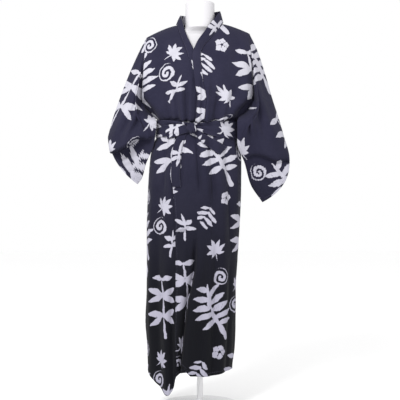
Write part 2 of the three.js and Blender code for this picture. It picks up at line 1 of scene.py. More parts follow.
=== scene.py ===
import math
import bmesh
import bpy
import numpy as np
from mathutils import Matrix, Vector


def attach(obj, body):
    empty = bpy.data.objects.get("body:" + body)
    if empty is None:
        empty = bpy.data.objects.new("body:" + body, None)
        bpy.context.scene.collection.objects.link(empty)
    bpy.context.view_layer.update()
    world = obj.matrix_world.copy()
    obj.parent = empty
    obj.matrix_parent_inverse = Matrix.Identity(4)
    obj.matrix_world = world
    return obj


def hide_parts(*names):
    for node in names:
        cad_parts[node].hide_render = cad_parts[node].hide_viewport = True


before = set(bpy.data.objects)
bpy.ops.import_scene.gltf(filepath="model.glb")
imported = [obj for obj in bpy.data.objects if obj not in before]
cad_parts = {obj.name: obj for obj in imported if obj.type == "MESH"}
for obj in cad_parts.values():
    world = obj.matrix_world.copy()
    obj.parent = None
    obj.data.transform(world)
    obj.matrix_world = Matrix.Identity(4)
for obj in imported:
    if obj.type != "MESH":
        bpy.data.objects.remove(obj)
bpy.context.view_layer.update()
print("frame loaded")

# cut and drape, in millimetres
robeShape = {
    "armpitZ": 1205.0, "hipZ": 1046.0, "hipShare": 0.8,
    "armpitRight": -236.0, "armpitLeft": 215.0,
    "tipRight": (-216.0, 1469.0), "tipLeft": (199.0, 1486.0),
    "neckRight": (-92.0, 1519.0), "neckLeft": (86.0, 1525.0), "backNeckY": 66.0,
    "armholeDepth": 45.0, "fullness": 0.8,
    "layerStep": 6.0, "collarLift": 2.4, "collarWidth": 26.0, "collarEndZ": 871.0,
    "overlapTopZ": 1185.0, "overlapWidth": 140.0, "clothThick": 1.0, "waistZ": 1110.0, "foldOverZ": 1520.0,
}
# how the cloth above the belt sags over its upper edge
beltSag = {"z": 1154.0, "reach": 17.0, "out": 6.0, "down": 17.0}

# outline and depth of the cloth at each height: z, left, right, front, back
ringTable = np.array([
    (30, 122, -208, 112, 112), (157, 126, -209, 114, 114), (245, 138, -212, 118, 118),
    (341, 141, -219, 120, 120), (461, 141, -213, 120, 121), (581, 148, -212, 122, 124),
    (701, 156, -212, 125, 128), (869, 165, -208, 127, 132), (980, 166, -200, 120, 124),
    (1046, 160, -186, 107, 105), (1078, 150, -170, 97, 91), (1110, 148, -167, 95, 88),
    (1138, 150, -170, 97, 90), (1156, 172, -190, 110, 103), (1180, 198, -216, 118, 111),
    (1205, 215, -236, 118, 112)], float)

# free edge of each front: z, x. The wearer's left front lies on top
topEdge = np.array([
    (30, -88), (178, -89), (279, -97), (434, -93), (701, -95), (871, -103), (918, -107),
    (1015, -101), (1070, -84), (1100, -58), (1130, -30), (1165, -14), (1210, -8),
    (1280, -19), (1374, -28), (1417, -29)], float)
underEdge = np.array([
    (30, 84), (434, 84), (871, 84), (1096, 74), (1210, 52), (1307, 14), (1374, -12),
    (1417, -29)], float)

# hem height along x
topHem = np.array([(-92, 175), (-68, 170), (-48, 148), (-36, 137), (28, 134), (90, 146),
                   (122, 152)], float)
underHem = np.array([(-208, 150), (-200, 134), (-172, 98), (-125, 58), (-104, 90),
                     (-92, 134), (-60, 150), (84, 156)], float)
backHem = np.array([(-208, 150), (-100, 164), (0, 160), (122, 152)], float)


def mix(a, b, t):
    return a + (b - a) * t


def smoothStep(low, high, v):
    t = np.clip((v - low) / (high - low), 0, 1)
    return t * t * (3 - 2 * t)


def power(v, e):
    return np.maximum(v, 0) ** e


# smooth curve through a table, without overshoot
def along(keys, values, at):
    keys, values = np.asarray(keys, float), np.asarray(values, float)
    d = np.diff(values) / np.diff(keys)
    m = np.empty_like(values)
    m[0], m[-1] = d[0], d[-1]
    a, b = d[:-1], d[1:]
    flat = a * b <= 0
    m[1:-1] = np.where(flat, 0, 2 * a * b / np.where(flat, 1, a + b))
    p = np.clip(at, keys[0], keys[-1])
    i = np.clip(np.searchsorted(keys, p, side="right") - 1, 0, len(keys) - 2)
    span = keys[i + 1] - keys[i]
    t = (p - keys[i]) / span
    h = t * t * (3 - 2 * t)
    return (values[i] + (values[i + 1] - values[i]) * h
            + t * (1 - t) ** 2 * span * m[i] + t * t * (t - 1) * span * m[i + 1])


# smooth random field between -1 and 1
def softNoise(x, z, stepX, stepZ, seed):
    lattice = np.random.default_rng(seed).uniform(-1, 1, (64, 64))
    px, pz = np.asarray(x) / stepX + 640.37, np.asarray(z) / stepZ + 640.71
    ix, iz = np.floor(px).astype(int), np.floor(pz).astype(int)
    fx, fz = px - ix, pz - iz
    fx, fz = fx ** 3 * (fx * (fx * 6 - 15) + 10), fz ** 3 * (fz * (fz * 6 - 15) + 10)
    at = lambda i, j: lattice[(ix + i) % 64, (iz + j) % 64]
    return mix(mix(at(0, 0), at(1, 0), fx), mix(at(0, 1), at(1, 1), fx), fz)


foldStrength = 1.35


# one crease: its path, its width and depth, its steeper side, and how far it fades at each end
def fold(path, wide, deep, lean=0, fadeIn=0.25, fadeOut=0.3):
    return {"path": path, "wide": wide, "deep": deep, "lean": lean, "fadeIn": fadeIn, "fadeOut": fadeOut}


# soft troughs and ridges along short paths
def foldField(folds, x, z):
    total = np.zeros(np.broadcast(x, z).shape)
    for f in folds:
        path = np.array(f["path"], float)
        legs = np.linalg.norm(np.diff(path, axis=0), axis=1)
        run = np.concatenate([[0], np.cumsum(legs)])
        best = np.full(total.shape, 1e9)
        side, share = np.zeros(total.shape), np.zeros(total.shape)
        for k, leg in enumerate(legs):
            dx, dz = (path[k + 1] - path[k]) / leg
            px, pz = x - path[k, 0], z - path[k, 1]
            s = px * dx + pz * dz
            sc = np.clip(s, 0, leg)
            d = np.hypot(px - dx * sc, pz - dz * sc)
            closer = d < best
            best = np.where(closer, d, best)
            side = np.where(closer, np.sign(px * dz - pz * dx), side)
            share = np.where(closer, (run[k] + sc) / run[-1], share)
        wide = f["wide"] * (1 + f["lean"] * side)
        ends = smoothStep(0, f["fadeIn"], share + 0.02) * smoothStep(0, f["fadeOut"], 1.02 - share)
        total = total + foldStrength * f["deep"] * ends * np.exp(-(best / wide) ** 2)
    return total


frontFolds = [
    # deep valley beside the front edge, with the pleat strip on its left
    fold([(-12, 712), (-22, 540), (-50, 415), (-63, 313), (-72, 221), (-82, 120)], 8, -17,
         lean=0.45, fadeOut=0.02),
    fold([(-52, 700), (-64, 540), (-80, 413), (-86, 300), (-90, 120)], 13, 6, fadeOut=0.02),
    fold([(14, 720), (6, 560), (-24, 430), (-38, 320), (-48, 110)], 20, 9, fadeOut=0.02),
    fold([(-100, 694), (-46, 702)], 6, -6),
    fold([(-98, 708), (-44, 716)], 8, 5),
    # under the knot
    fold([(4, 1072), (18, 940), (28, 780)], 17, 8, fadeIn=0.08),
    fold([(-14, 1070), (-6, 960), (2, 830)], 7, -6, fadeIn=0.08),
    fold([(34, 1068), (48, 950), (54, 790)], 9, -7, fadeIn=0.08),
    fold([(62, 1066), (78, 920), (90, 640)], 18, 6, fadeIn=0.08),
    fold([(92, 1062), (112, 900), (122, 560)], 10, -7, fadeIn=0.08),
    fold([(-62, 1066), (-70, 980), (-74, 860)], 9, -5, fadeIn=0.08),
    fold([(-104, 1064), (-112, 940), (-118, 800)], 12, 6, fadeIn=0.08),
    fold([(-132, 1060), (-142, 950), (-146, 820)], 9, -7, fadeIn=0.08),
    fold([(128, 1058), (142, 940), (144, 700)], 10, 5, fadeIn=0.08),
    # gathers above the belt
    fold([(-112, 1142), (-126, 1200), (-140, 1262)], 9, -6, fadeIn=0.08),
    fold([(-84, 1140), (-94, 1210), (-106, 1310)], 8, -6, fadeIn=0.08),
    fold([(-68, 1140), (-74, 1215), (-78, 1330)], 9, 6, fadeIn=0.08),
    fold([(-50, 1140), (-54, 1205), (-54, 1286)], 6, -7, fadeIn=0.08),
    fold([(-36, 1140), (-36, 1220), (-32, 1320)], 7, 5, fadeIn=0.08),
    fold([(-18, 1140), (-14, 1196), (-8, 1262)], 5, -5, fadeIn=0.08),
    fold([(6, 1140), (9, 1210), (8, 1310)], 7, -7, fadeIn=0.08),
    fold([(24, 1140), (30, 1206), (34, 1290)], 9, 6, fadeIn=0.08),
    fold([(56, 1138), (66, 1196), (80, 1272)], 9, -8, fadeIn=0.08),
    fold([(80, 1138), (98, 1196), (118, 1262)], 10, 6, fadeIn=0.08),
    # blousing that falls over the belt towards the sides
    fold([(-232, 1222), (-206, 1182), (-160, 1140)], 14, -15, lean=0.3),
    fold([(-222, 1250), (-184, 1206), (-128, 1156)], 17, 10),
    fold([(-190, 1330), (-150, 1250), (-112, 1180)], 20, -5),
    fold([(206, 1214), (150, 1156), (84, 1130)], 12, -12, lean=0.3),
    fold([(206, 1246), (150, 1190), (96, 1152)], 16, 9),
    fold([(176, 1330), (140, 1250), (112, 1190)], 18, -5),
    # skirt on the right front
    fold([(-160, 1030), (-166, 700), (-170, 400), (-160, 60)], 15, -8, fadeOut=0.02),
    fold([(-188, 930), (-196, 520), (-196, 100)], 10, 5, fadeOut=0.02),
    fold([(-128, 640), (-134, 360), (-128, 40)], 15, 8, fadeOut=0.02),
    fold([(-110, 560), (-112, 330), (-108, 60)], 7, -6, fadeOut=0.02),
    # skirt on the left front
    fold([(62, 700), (62, 430), (44, 110)], 11, -7, fadeOut=0.02),
    fold([(84, 820), (90, 480), (74, 110)], 16, 6, fadeOut=0.02),
    fold([(116, 620), (112, 380), (98, 110)], 9, -6, fadeOut=0.02),
    fold([(30, 520), (26, 330), (10, 110)], 12, 5, fadeOut=0.02),
    # chest
    fold([(-176, 1446), (-158, 1340), (-120, 1230)], 22, -4),
    fold([(-130, 1450), (-118, 1370), (-96, 1290)], 18, 3),
    fold([(150, 1456), (136, 1340), (104, 1240)], 22, -4),
    fold([(104, 1464), (96, 1380), (74, 1290)], 18, 3),
    fold([(-206, 1430), (-216, 1320), (-222, 1240)], 8, -4),
    fold([(188, 1446), (196, 1330), (202, 1240)], 8, -4),
    fold([(-60, 1440), (-84, 1400), (-130, 1360)], 12, -3),
    fold([(40, 1420), (70, 1388), (112, 1356)], 12, -3),
]

backFolds = [
    fold([(-20, 1070), (-26, 800), (-34, 460), (-30, 120)], 15, -9, fadeIn=0.06, fadeOut=0.02),
    fold([(14, 1070), (16, 860), (22, 560)], 12, 6, fadeIn=0.06),
    fold([(44, 1066), (60, 760), (70, 300)], 18, 8, fadeIn=0.06),
    fold([(84, 1062), (98, 800), (100, 480), (94, 120)], 11, -8, fadeIn=0.06, fadeOut=0.02),
    fold([(-62, 1066), (-72, 900), (-80, 660)], 10, 5, fadeIn=0.06),
    fold([(-96, 1064), (-112, 760), (-118, 400), (-110, 120)], 18, -9, fadeIn=0.06, fadeOut=0.02),
    fold([(-140, 1056), (-156, 800), (-164, 420), (-160, 120)], 14, 7, fadeIn=0.06, fadeOut=0.02),
    fold([(124, 1040), (132, 760), (120, 300)], 11, 5),
    fold([(-60, 560), (-66, 340), (-62, 120)], 12, 6, fadeOut=0.02),
    fold([(-124, 1142), (-140, 1200), (-156, 1290)], 10, -7, fadeIn=0.08),
    fold([(-92, 1140), (-100, 1220), (-112, 1330)], 10, 6, fadeIn=0.08),
    fold([(-64, 1140), (-66, 1210), (-64, 1300)], 8, -7, fadeIn=0.08),
    fold([(-34, 1140), (-34, 1230), (-40, 1360)], 9, 6, fadeIn=0.08),
    fold([(-10, 1140), (-8, 1190), (-2, 1270)], 6, -5, fadeIn=0.08),
    fold([(26, 1140), (30, 1220), (36, 1340)], 9, -7, fadeIn=0.08),
    fold([(56, 1140), (66, 1210), (74, 1300)], 9, 6, fadeIn=0.08),
    fold([(90, 1138), (108, 1200), (126, 1290)], 10, -7, fadeIn=0.08),
    fold([(-216, 1240), (-176, 1186), (-120, 1148)], 15, 9),
    fold([(-226, 1216), (-196, 1172), (-150, 1140)], 12, -11),
    fold([(200, 1238), (160, 1186), (110, 1148)], 15, 9),
    fold([(206, 1212), (176, 1170), (130, 1140)], 12, -11),
    fold([(-176, 1440), (-150, 1350), (-100, 1270)], 22, -4),
    fold([(160, 1450), (136, 1350), (90, 1270)], 22, -4),
    fold([(-60, 1470), (-64, 1400), (-54, 1320)], 16, 3),
]


def ringAt(z):
    col = lambda k: along(ringTable[:, 0], ringTable[:, k], z)
    left, right = col(1), col(2)
    return (left + right) / 2, (left - right) / 2, col(3), col(4)


# height of the shoulder line
def ridgeZ(x):
    nr, nl, tr, tl = (robeShape[k] for k in ("neckRight", "neckLeft", "tipRight", "tipLeft"))
    a = np.clip((x - nr[0]) / (tr[0] - nr[0]), 0, 1)
    b = np.clip((x - nl[0]) / (tl[0] - nl[0]), 0, 1)
    t = np.clip((x - nr[0]) / (nl[0] - nr[0]), 0, 1)
    middle = mix(nr[1], nl[1], t) - 6 * np.sin(math.pi * t)
    return middle + (tr[1] - nr[1]) * a ** 1.35 + (tl[1] - nl[1]) * b ** 1.35


def ridgeY(x, side):
    s = robeShape
    right, left = s["neckRight"][0], s["neckLeft"][0]
    t = np.clip((x - right) / (left - right), 0, 1)
    if side < 0:
        return np.full(np.shape(x), 5.0)
    return 5 + (s["backNeckY"] - 5) * power(np.sin(math.pi * t), 0.75)


# distance of the smooth cloth from the shoulder plane
def clothDepth(x, z, side):
    s = robeShape
    centre, half, front, back = ringAt(np.minimum(z, s["armpitZ"]))
    v = np.where(z > s["armpitZ"], np.clip((z - s["armpitZ"]) / (ridgeZ(x) - s["armpitZ"]), 0, 1), 0)
    left = centre + half - (s["armpitLeft"] - s["tipLeft"][0]) * v
    right = centre - half - (s["armpitRight"] - s["tipRight"][0]) * v
    t = np.clip((2 * x - left - right) / (left - right), -1, 1)
    rounding = power(1 - t * t, s["fullness"] / 2)
    deep = front if side < 0 else back
    profile = power(1 - v * v, 0.62) if side < 0 else power(1 - v ** 3, 0.7)
    armhole = s["armholeDepth"] * power(np.sin(math.pi * v), 0.75) * (1 - rounding)
    middle = side * ridgeY(x, side) * v ** 4
    return deep * rounding * profile + armhole + middle, t, v


# small uneven creases, continuous round the side seams
def wrinkles(z, side, t):
    turn = np.arcsin(np.clip(t, -1, 1))
    ring = np.where(side < 0, turn, math.pi - turn) * 180.0
    skirt = smoothStep(1060, 960, z)
    waist = np.exp(-((z - 1108) / 95.0) ** 2) * smoothStep(20, 48, np.abs(z - 1108))
    chest = smoothStep(1130, 1210, z)
    return (skirt * (2.4 * softNoise(ring, z, 58, 430, 3) + 1.3 * softNoise(ring, z, 26, 210, 5))
            + waist * (3.0 * softNoise(ring, z, 17, 150, 7) + 1.2 * softNoise(ring, z, 9, 80, 9))
            + chest * (1.6 * softNoise(ring, z, 74, 110, 11) + 0.9 * softNoise(ring, z, 33, 52, 13))
            + 0.35 * softNoise(ring, z, 14, 22, 15))


# point on the creased cloth, moved out by lift
def clothPoint(x, z, side, lift):
    x, z = np.broadcast_arrays(np.asarray(x, float), np.asarray(z, float))
    h, t, v = clothDepth(x, z, side)
    e = 0.6
    inward = np.where(t > 0, -1.0, 1.0)
    hx = (clothDepth(x + inward * e, z, side)[0] - h) / (inward * e)
    hz = (h - clothDepth(x, z - e, side)[0]) / e
    normal = np.stack([-hx, np.full(h.shape, float(side)), -hz], -1)
    normal /= np.linalg.norm(normal, axis=-1, keepdims=True)
    folds = frontFolds if side < 0 else backFolds
    fade = np.minimum(1, 9 * (1 - v))
    edge = power(1 - t * t, 0.3)
    amount = (foldField(folds, x, z) * edge + wrinkles(z, side, t) * mix(0.6, 1, edge) + lift) * fade
    point = np.stack([x, side * h, z], -1) + normal * amount[..., None]
    near = np.exp(-((z - beltSag["z"]) / beltSag["reach"]) ** 2)
    sag = near * (1 + 0.5 * softNoise(x, z * 0, 38, 50, 41)) * edge
    point[..., 1] += side * beltSag["out"] * sag
    point[..., 2] -= beltSag["down"] * sag
    return point


def topLift(x):
    return robeShape["layerStep"] * smoothStep(165, 95, x)


def edgeX(table, z):
    return along(table[:, 0], table[:, 1], z)


def overlapShare(z):
    s = robeShape
    return mix(s["overlapWidth"], 6, smoothStep(900, s["overlapTopZ"], z))


def skirtZ(hemZ, row):
    s = robeShape
    low = mix(hemZ, s["hipZ"], row / s["hipShare"])
    high = mix(s["hipZ"], s["armpitZ"], (row - s["hipShare"]) / (1 - s["hipShare"]))
    return np.where(row < s["hipShare"], low, high)


# collar path: free edge then seam edge, from the right front over the neck to the left front
collarNeck = np.array([
    (-29, -88, 1420, -56, -82, 1418), (-46, -74, 1456, -69, -64, 1452),
    (-62, -46, 1498, -82, -38, 1488), (-71, -18, 1534, -92, -9, 1518),
    (-79, 16, 1560, -94, 18, 1523), (-62, 56, 1567, -67, 64, 1519),
    (0, 76, 1576, 0, 79, 1517), (60, 58, 1583, 65, 64, 1523),
    (80, 16, 1578, 91, 18, 1530), (74, -12, 1566, 90, -9, 1526),
    (57, -38, 1540, 80, -28, 1508), (36, -56, 1512, 62, -48, 1484),
    (13, -74, 1478, 38, -68, 1452), (-12, -90, 1440, 14, -84, 1422)], float)


# seam line between a front and the collar, and below it the overlap piece
def frontInner(wing, z):
    s = robeShape
    edge = topEdge if wing > 0 else underEdge
    neck = collarNeck[13] if wing > 0 else collarNeck[0]
    point = s["neckLeft"] if wing > 0 else s["neckRight"]
    seamX, seamZ = neck[3], neck[5]
    low = edgeX(edge, z) + wing * s["collarWidth"]
    low = mix(low, seamX, smoothStep(seamZ - 60, seamZ, z))
    high = mix(seamX, point[0], np.clip((z - seamZ) / (point[1] - seamZ), 0, 1))
    chest = np.where(z < seamZ, low, high)
    skirt = edgeX(edge, z) + wing * np.maximum(overlapShare(z), s["collarWidth"])
    under = wing * 5 * smoothStep(s["overlapTopZ"], s["overlapTopZ"] + 40, z)
    return np.where(z > s["overlapTopZ"], chest, skirt) - under


# x and z of one half of the body, row by row from the hem to the shoulder line
def bodyGrid(wing, shares, skirtRows, yokeRows, inner, hem):
    s = robeShape
    sideAngle = wing * math.pi / 2
    base = ringAt(np.array(s["armpitZ"]))
    innerTop = float(inner(np.array(s["armpitZ"])))
    innerAngle = math.asin((innerTop - base[0]) / base[1])
    angle = np.arcsin(np.clip(mix(math.sin(sideAngle), math.sin(innerAngle), shares), -1, 1))
    u = (angle - sideAngle) / (innerAngle - sideAngle)

    def turn(z):
        centre, half = ringAt(z)[:2]
        a = np.arcsin(np.clip((inner(z) - centre) / half, -0.9995, 0.9995))
        return centre + half * np.sin(mix(sideAngle, a, u))

    hemZ = along(hem[:, 0], hem[:, 1], turn(np.full(len(u), 140.0)))
    row = np.linspace(0, 1, skirtRows)[:, None]
    z = skirtZ(hemZ[None, :], row)
    x = turn(z)
    v = np.sin(np.linspace(0, math.pi / 2, yokeRows + 1)[1:])
    tip = s["tipLeft"] if wing > 0 else s["tipRight"]
    armpit = s["armpitLeft"] if wing > 0 else s["armpitRight"]
    innerX = np.full(len(v), innerTop)
    for _ in range(40):
        innerX = 0.5 * innerX + 0.5 * inner(mix(s["armpitZ"], ridgeZ(innerX), v))
    yokeX = mix(mix(armpit, tip[0], v)[:, None], innerX[:, None], shares[None, :])
    yokeZ = mix(s["armpitZ"], ridgeZ(yokeX), v[:, None])
    return np.vstack([x, yokeX]), np.vstack([z, yokeZ])


# meshes
def arcs(grid, axis):
    step = np.linalg.norm(np.diff(grid, axis=axis), axis=-1)
    zero = np.zeros_like(np.take(step, [0], axis=axis))
    return np.concatenate([zero, np.cumsum(step, axis=axis)], axis=axis)


def gridFaces(rows, columns, looped, first=0):
    c = np.arange(columns if looped else columns - 1)
    n = (c + 1) % columns
    r = np.arange(rows - 1)[:, None] * columns + first
    quads = np.stack([r + c, r + n, r + n + columns, r + c + columns], -1)
    return quads.reshape(-1, 4)


# one uv for each corner of each face
def gridUv(across, up):
    uv = np.stack([across, up], -1) / 1000.0
    return np.stack([uv[:-1, :-1], uv[:-1, 1:], uv[1:, 1:], uv[1:, :-1]], 2).reshape(-1, 2)


def meshFrom(name, points, faces, uv=None, material=None):
    mesh = bpy.data.meshes.new(name)
    mesh.from_pydata((np.asarray(points) / 1000.0).tolist(), [], np.asarray(faces).tolist())
    if uv is not None:
        layer = mesh.uv_layers.new(name="clothMetres")
        layer.data.foreach_set("uv", np.asarray(uv, np.float32).ravel())
    mesh.validate()
    mesh.polygons.foreach_set("use_smooth", [True] * len(mesh.polygons))
    if material:
        mesh.materials.append(material)
    piece = bpy.data.objects.new(name, mesh)
    bpy.context.scene.collection.objects.link(piece)
    return piece


def thicken(piece, thick, offset=0.0):
    wall = piece.modifiers.new("wall", "SOLIDIFY")
    wall.thickness = thick / 1000.0
    wall.offset = offset
    wall.use_rim = True
    return piece


def weld(piece, distance=0.05):
    bm = bmesh.new()
    bm.from_mesh(piece.data)
    bmesh.ops.remove_doubles(bm, verts=bm.verts, dist=distance / 1000.0)
    bm.to_mesh(piece.data)
    bm.free()


# faces point to the same side as probe(centre)
def turnOut(piece, probe):
    bm = bmesh.new()
    bm.from_mesh(piece.data)
    bm.normal_update()
    score = sum(f.normal.dot(probe(f.calc_center_median())) * f.calc_area() for f in bm.faces)
    if score < 0:
        bmesh.ops.reverse_faces(bm, faces=bm.faces)
    bm.to_mesh(piece.data)
    bm.free()


def awayFrom(x, y):
    return lambda c: Vector((c.x - x / 1000.0, c.y - y / 1000.0, 0))


# materials
# navy, navyWorn and white are the cloth's own colours; the deep navy is painted shade towards the hem, and
# the greyed white is partly random cloud and partly painted shade towards the hem
printLook = {
    "navy": (0.0125, 0.0120, 0.0290, 1), "navyWorn": (0.0215, 0.0205, 0.0420, 1),
    "navyPaintedShade": (0.0016, 0.0018, 0.0042, 1), "white": (0.475, 0.470, 0.520, 1),
    "whiteCloudAndPaintedShade": (0.335, 0.325, 0.400, 1), "tileWide": 0.36, "tileTall": 0.60,
    "edgeWobble": 0.0030, "roughness": 0.88, "sheen": 0.03, "threadStep": 0.0011,
}


# short names for the shader nodes of one material
class Nodes:
    def __init__(self, name):
        self.material = bpy.data.materials.new(name)
        self.material.use_nodes = True
        self.tree = self.material.node_tree
        self.tree.nodes.clear()

    def add(self, kind, **values):
        node = self.tree.nodes.new(kind)
        for key, value in values.items():
            setattr(node, key, value)
        return node

    def put(self, socket, value):
        if hasattr(value, "is_linked"):
            self.tree.links.new(value, socket)
        else:
            socket.default_value = value

    def math(self, operation, a, b=None, c=None, clamp=False):
        node = self.add("ShaderNodeMath", operation=operation, use_clamp=clamp)
        for socket, value in zip(node.inputs, (a, b, c)):
            if value is not None:
                self.put(socket, value)
        return node.outputs[0]

    def vector(self, operation, a, b=None, scale=None):
        node = self.add("ShaderNodeVectorMath", operation=operation)
        self.put(node.inputs[0], a)
        if b is not None:
            self.put(node.inputs[1], b)
        if scale is not None:
            self.put(node.inputs["Scale"], scale)
        return node.outputs["Value" if operation in ("DOT_PRODUCT", "LENGTH", "DISTANCE") else "Vector"]

    def noise(self, vector, scale, detail=2.0, rough=0.5):
        node = self.add("ShaderNodeTexNoise")
        self.put(node.inputs["Vector"], vector)
        node.inputs["Scale"].default_value = scale
        node.inputs["Detail"].default_value = detail
        node.inputs["Roughness"].default_value = rough
        return node

    def ramp(self, value, low, high, a=0.0, b=1.0):
        node = self.add("ShaderNodeMapRange", interpolation_type="SMOOTHSTEP")
        for socket, v in zip(node.inputs, (value, low, high, a, b)):
            self.put(socket, v)
        return node.outputs[0]

    def mixColor(self, share, a, b):
        node = self.add("ShaderNodeMix", data_type="RGBA")
        self.put(node.inputs["Factor"], share)
        self.put(node.inputs["A"], a)
        self.put(node.inputs["B"], b)
        return node.outputs["Result"]


# distance to one brush stroke: fat at its start, belly at its middle, thin at its end
def stroke(n, p, start, end, fat, belly):
    a, b = np.array(start, float), np.array(end, float)
    d = b - a
    rel = n.vector("SUBTRACT", p, (a[0], a[1], 0))
    share = d / (d @ d)
    t = n.math("ADD", n.vector("DOT_PRODUCT", rel, (share[0], share[1], 0)), 0.0, clamp=True)
    off = n.vector("SUBTRACT", rel, n.vector("SCALE", (d[0], d[1], 0), scale=t))
    hump = n.math("MULTIPLY", t, n.math("SUBTRACT", 1.0, t))
    width = n.math("MULTIPLY_ADD", hump, 4 * belly, n.math("MULTIPLY_ADD", t, -0.75 * fat, fat))
    return n.math("SUBTRACT", n.vector("LENGTH", off), width)


def polar(n, p, centre):
    rel = n.vector("SUBTRACT", p, (centre[0], centre[1], 0))
    parts = n.add("ShaderNodeSeparateXYZ")
    n.put(parts.inputs[0], rel)
    return n.math("ARCTAN2", parts.outputs[1], parts.outputs[0]), n.vector("LENGTH", rel)


# distance to a brushed spiral of one and a half turns, thin at its outer end
def whirl(n, p, centre, size, thick, turn, hand):
    angle, length = polar(n, p, centre)
    step = size / 1.6
    around = n.math("MULTIPLY_ADD", angle, hand / (2 * math.pi), turn)
    phase = n.math("SUBTRACT", n.math("DIVIDE", length, step), around)
    lane = n.math("ABSOLUTE", n.math("SUBTRACT", n.math("SUBTRACT", phase, n.math("FLOOR", phase)), 0.5))
    width = n.math("MULTIPLY_ADD", length, -0.16 * thick / size, thick)
    arm = n.math("SUBTRACT", n.math("MULTIPLY", lane, step), width)
    rim = n.math("SUBTRACT", length, n.math("MULTIPLY_ADD", n.math("SINE", angle), size * 0.1, size))
    return n.math("MAXIMUM", arm, rim)


# bold brushed plants: start x, y, end x, y, fat, belly, in millimetres from the motif's centre
bambooSpray = [
    (-22, -112, -10, -44, 6, 1), (-9, -36, 2, 30, 6, 1), (3, 38, 12, 104, 5.5, 1),
    (-4, -30, -78, -66, 3, 9), (-8, -34, -72, -14, 3, 8.5), (-2, -34, 62, -78, 3, 9.5),
    (2, -30, 80, -34, 3, 9.5), (4, 34, -70, 16, 3, 9), (2, 40, -60, 66, 3, 10),
    (8, 36, 78, 12, 3, 9.5), (8, 42, 84, 58, 3, 9), (12, 98, -38, 108, 3, 7.5),
    (14, 98, 62, 104, 3, 7)]
pineBough = [
    (-58, -100, -20, -40, 9, 4), (-20, -40, 18, 18, 8, 4), (18, 18, 30, 96, 7, 3),
    (-26, -46, -84, -30, 4, 7), (-10, -24, -86, 6, 4, 8), (4, 0, -66, 36, 4, 8.5),
    (18, 22, -46, 66, 4, 8.5), (24, 52, -24, 98, 4, 7), (-14, -34, 48, -66, 4, 8),
    (0, -10, 74, -32, 4, 9), (14, 14, 86, 4, 4, 9), (22, 42, 82, 42, 4, 8.5),
    (28, 74, 72, 84, 4, 7)]
grassSprig = [
    (-30, -40, 2, 4, 5, 2.5), (2, 4, 26, 42, 4.5, 2.5), (-6, -6, -44, 6, 3, 6.5),
    (6, 8, -20, 42, 3, 6.5), (-4, -4, 36, -26, 3, 7), (8, 8, 44, 8, 3, 6)]
mapleLeaf = [
    (0, -8, 0, 46, 4, 7.5), (0, -8, -30, 32, 4, 6.5), (0, -8, 30, 34, 4, 6.5), (0, -8, -46, 4, 4, 6),
    (0, -8, 46, 6, 4, 6), (0, -8, -32, -22, 3, 4.5), (0, -8, 32, -20, 3, 4.5), (0, -8, 8, -46, 2.6, 0.8)]
plumBlossom = [
    (0, 11, 0, 26, 6, 8), (-10, 4, -25, 8, 6, 8), (10, 4, 25, 8, 6, 8), (-7, -9, -15, -22, 6, 8),
    (7, -9, 15, -22, 6, 8)]
ripple = [
    (-46, -8, 2, 14, 4, 5), (0, 16, 46, 0, 4.5, 4.5), (-38, -26, 8, -6, 4, 4.5), (8, -6, 44, -22, 4, 4),
    (-22, -42, 18, -28, 3.5, 4), (-28, 20, 6, 36, 3.5, 4.5), (10, 34, 36, 24, 3.5, 3.5)]


# where each sits in one repeat of the print: plant, centre, size, hand, turn
printMotifs = [
    (bambooSpray, (98, 138), 1.06, 1, 0.0), (pineBough, (254, 430), 1.06, 1, 0.0),
    (mapleLeaf, (252, 66), 0.95, 1, -0.5), (ripple, (304, 196), 0.98, 1, 0.35),
    (grassSprig, (66, 384), 1.0, -1, -0.5), (mapleLeaf, (112, 524), 0.88, 1, 0.8),
    (plumBlossom, (222, 268), 1.05, 1, 0.3)]
# centre, size, thickness, turn, hand
printWhirls = [((0.128, 0.446), 0.034, 0.0062, 0.2, 1), ((0.222, 0.560), 0.032, 0.0060, 0.7, -1)]


def motif(n, p, strokes, centre, size, hand, turn, total):
    c, s = math.cos(turn), math.sin(turn)
    for x0, y0, x1, y1, fat, belly in strokes:
        ends = []
        for x, y in ((x0, y0), (x1, y1)):
            x, y = hand * x * size, y * size
            ends.append(((centre[0] + c * x - s * y) / 1000, (centre[1] + s * x + c * y) / 1000))
        d = stroke(n, p, ends[0], ends[1], fat * size / 1000, belly * size / 1000)
        total = d if total is None else n.math("MINIMUM", total, d)
    return total


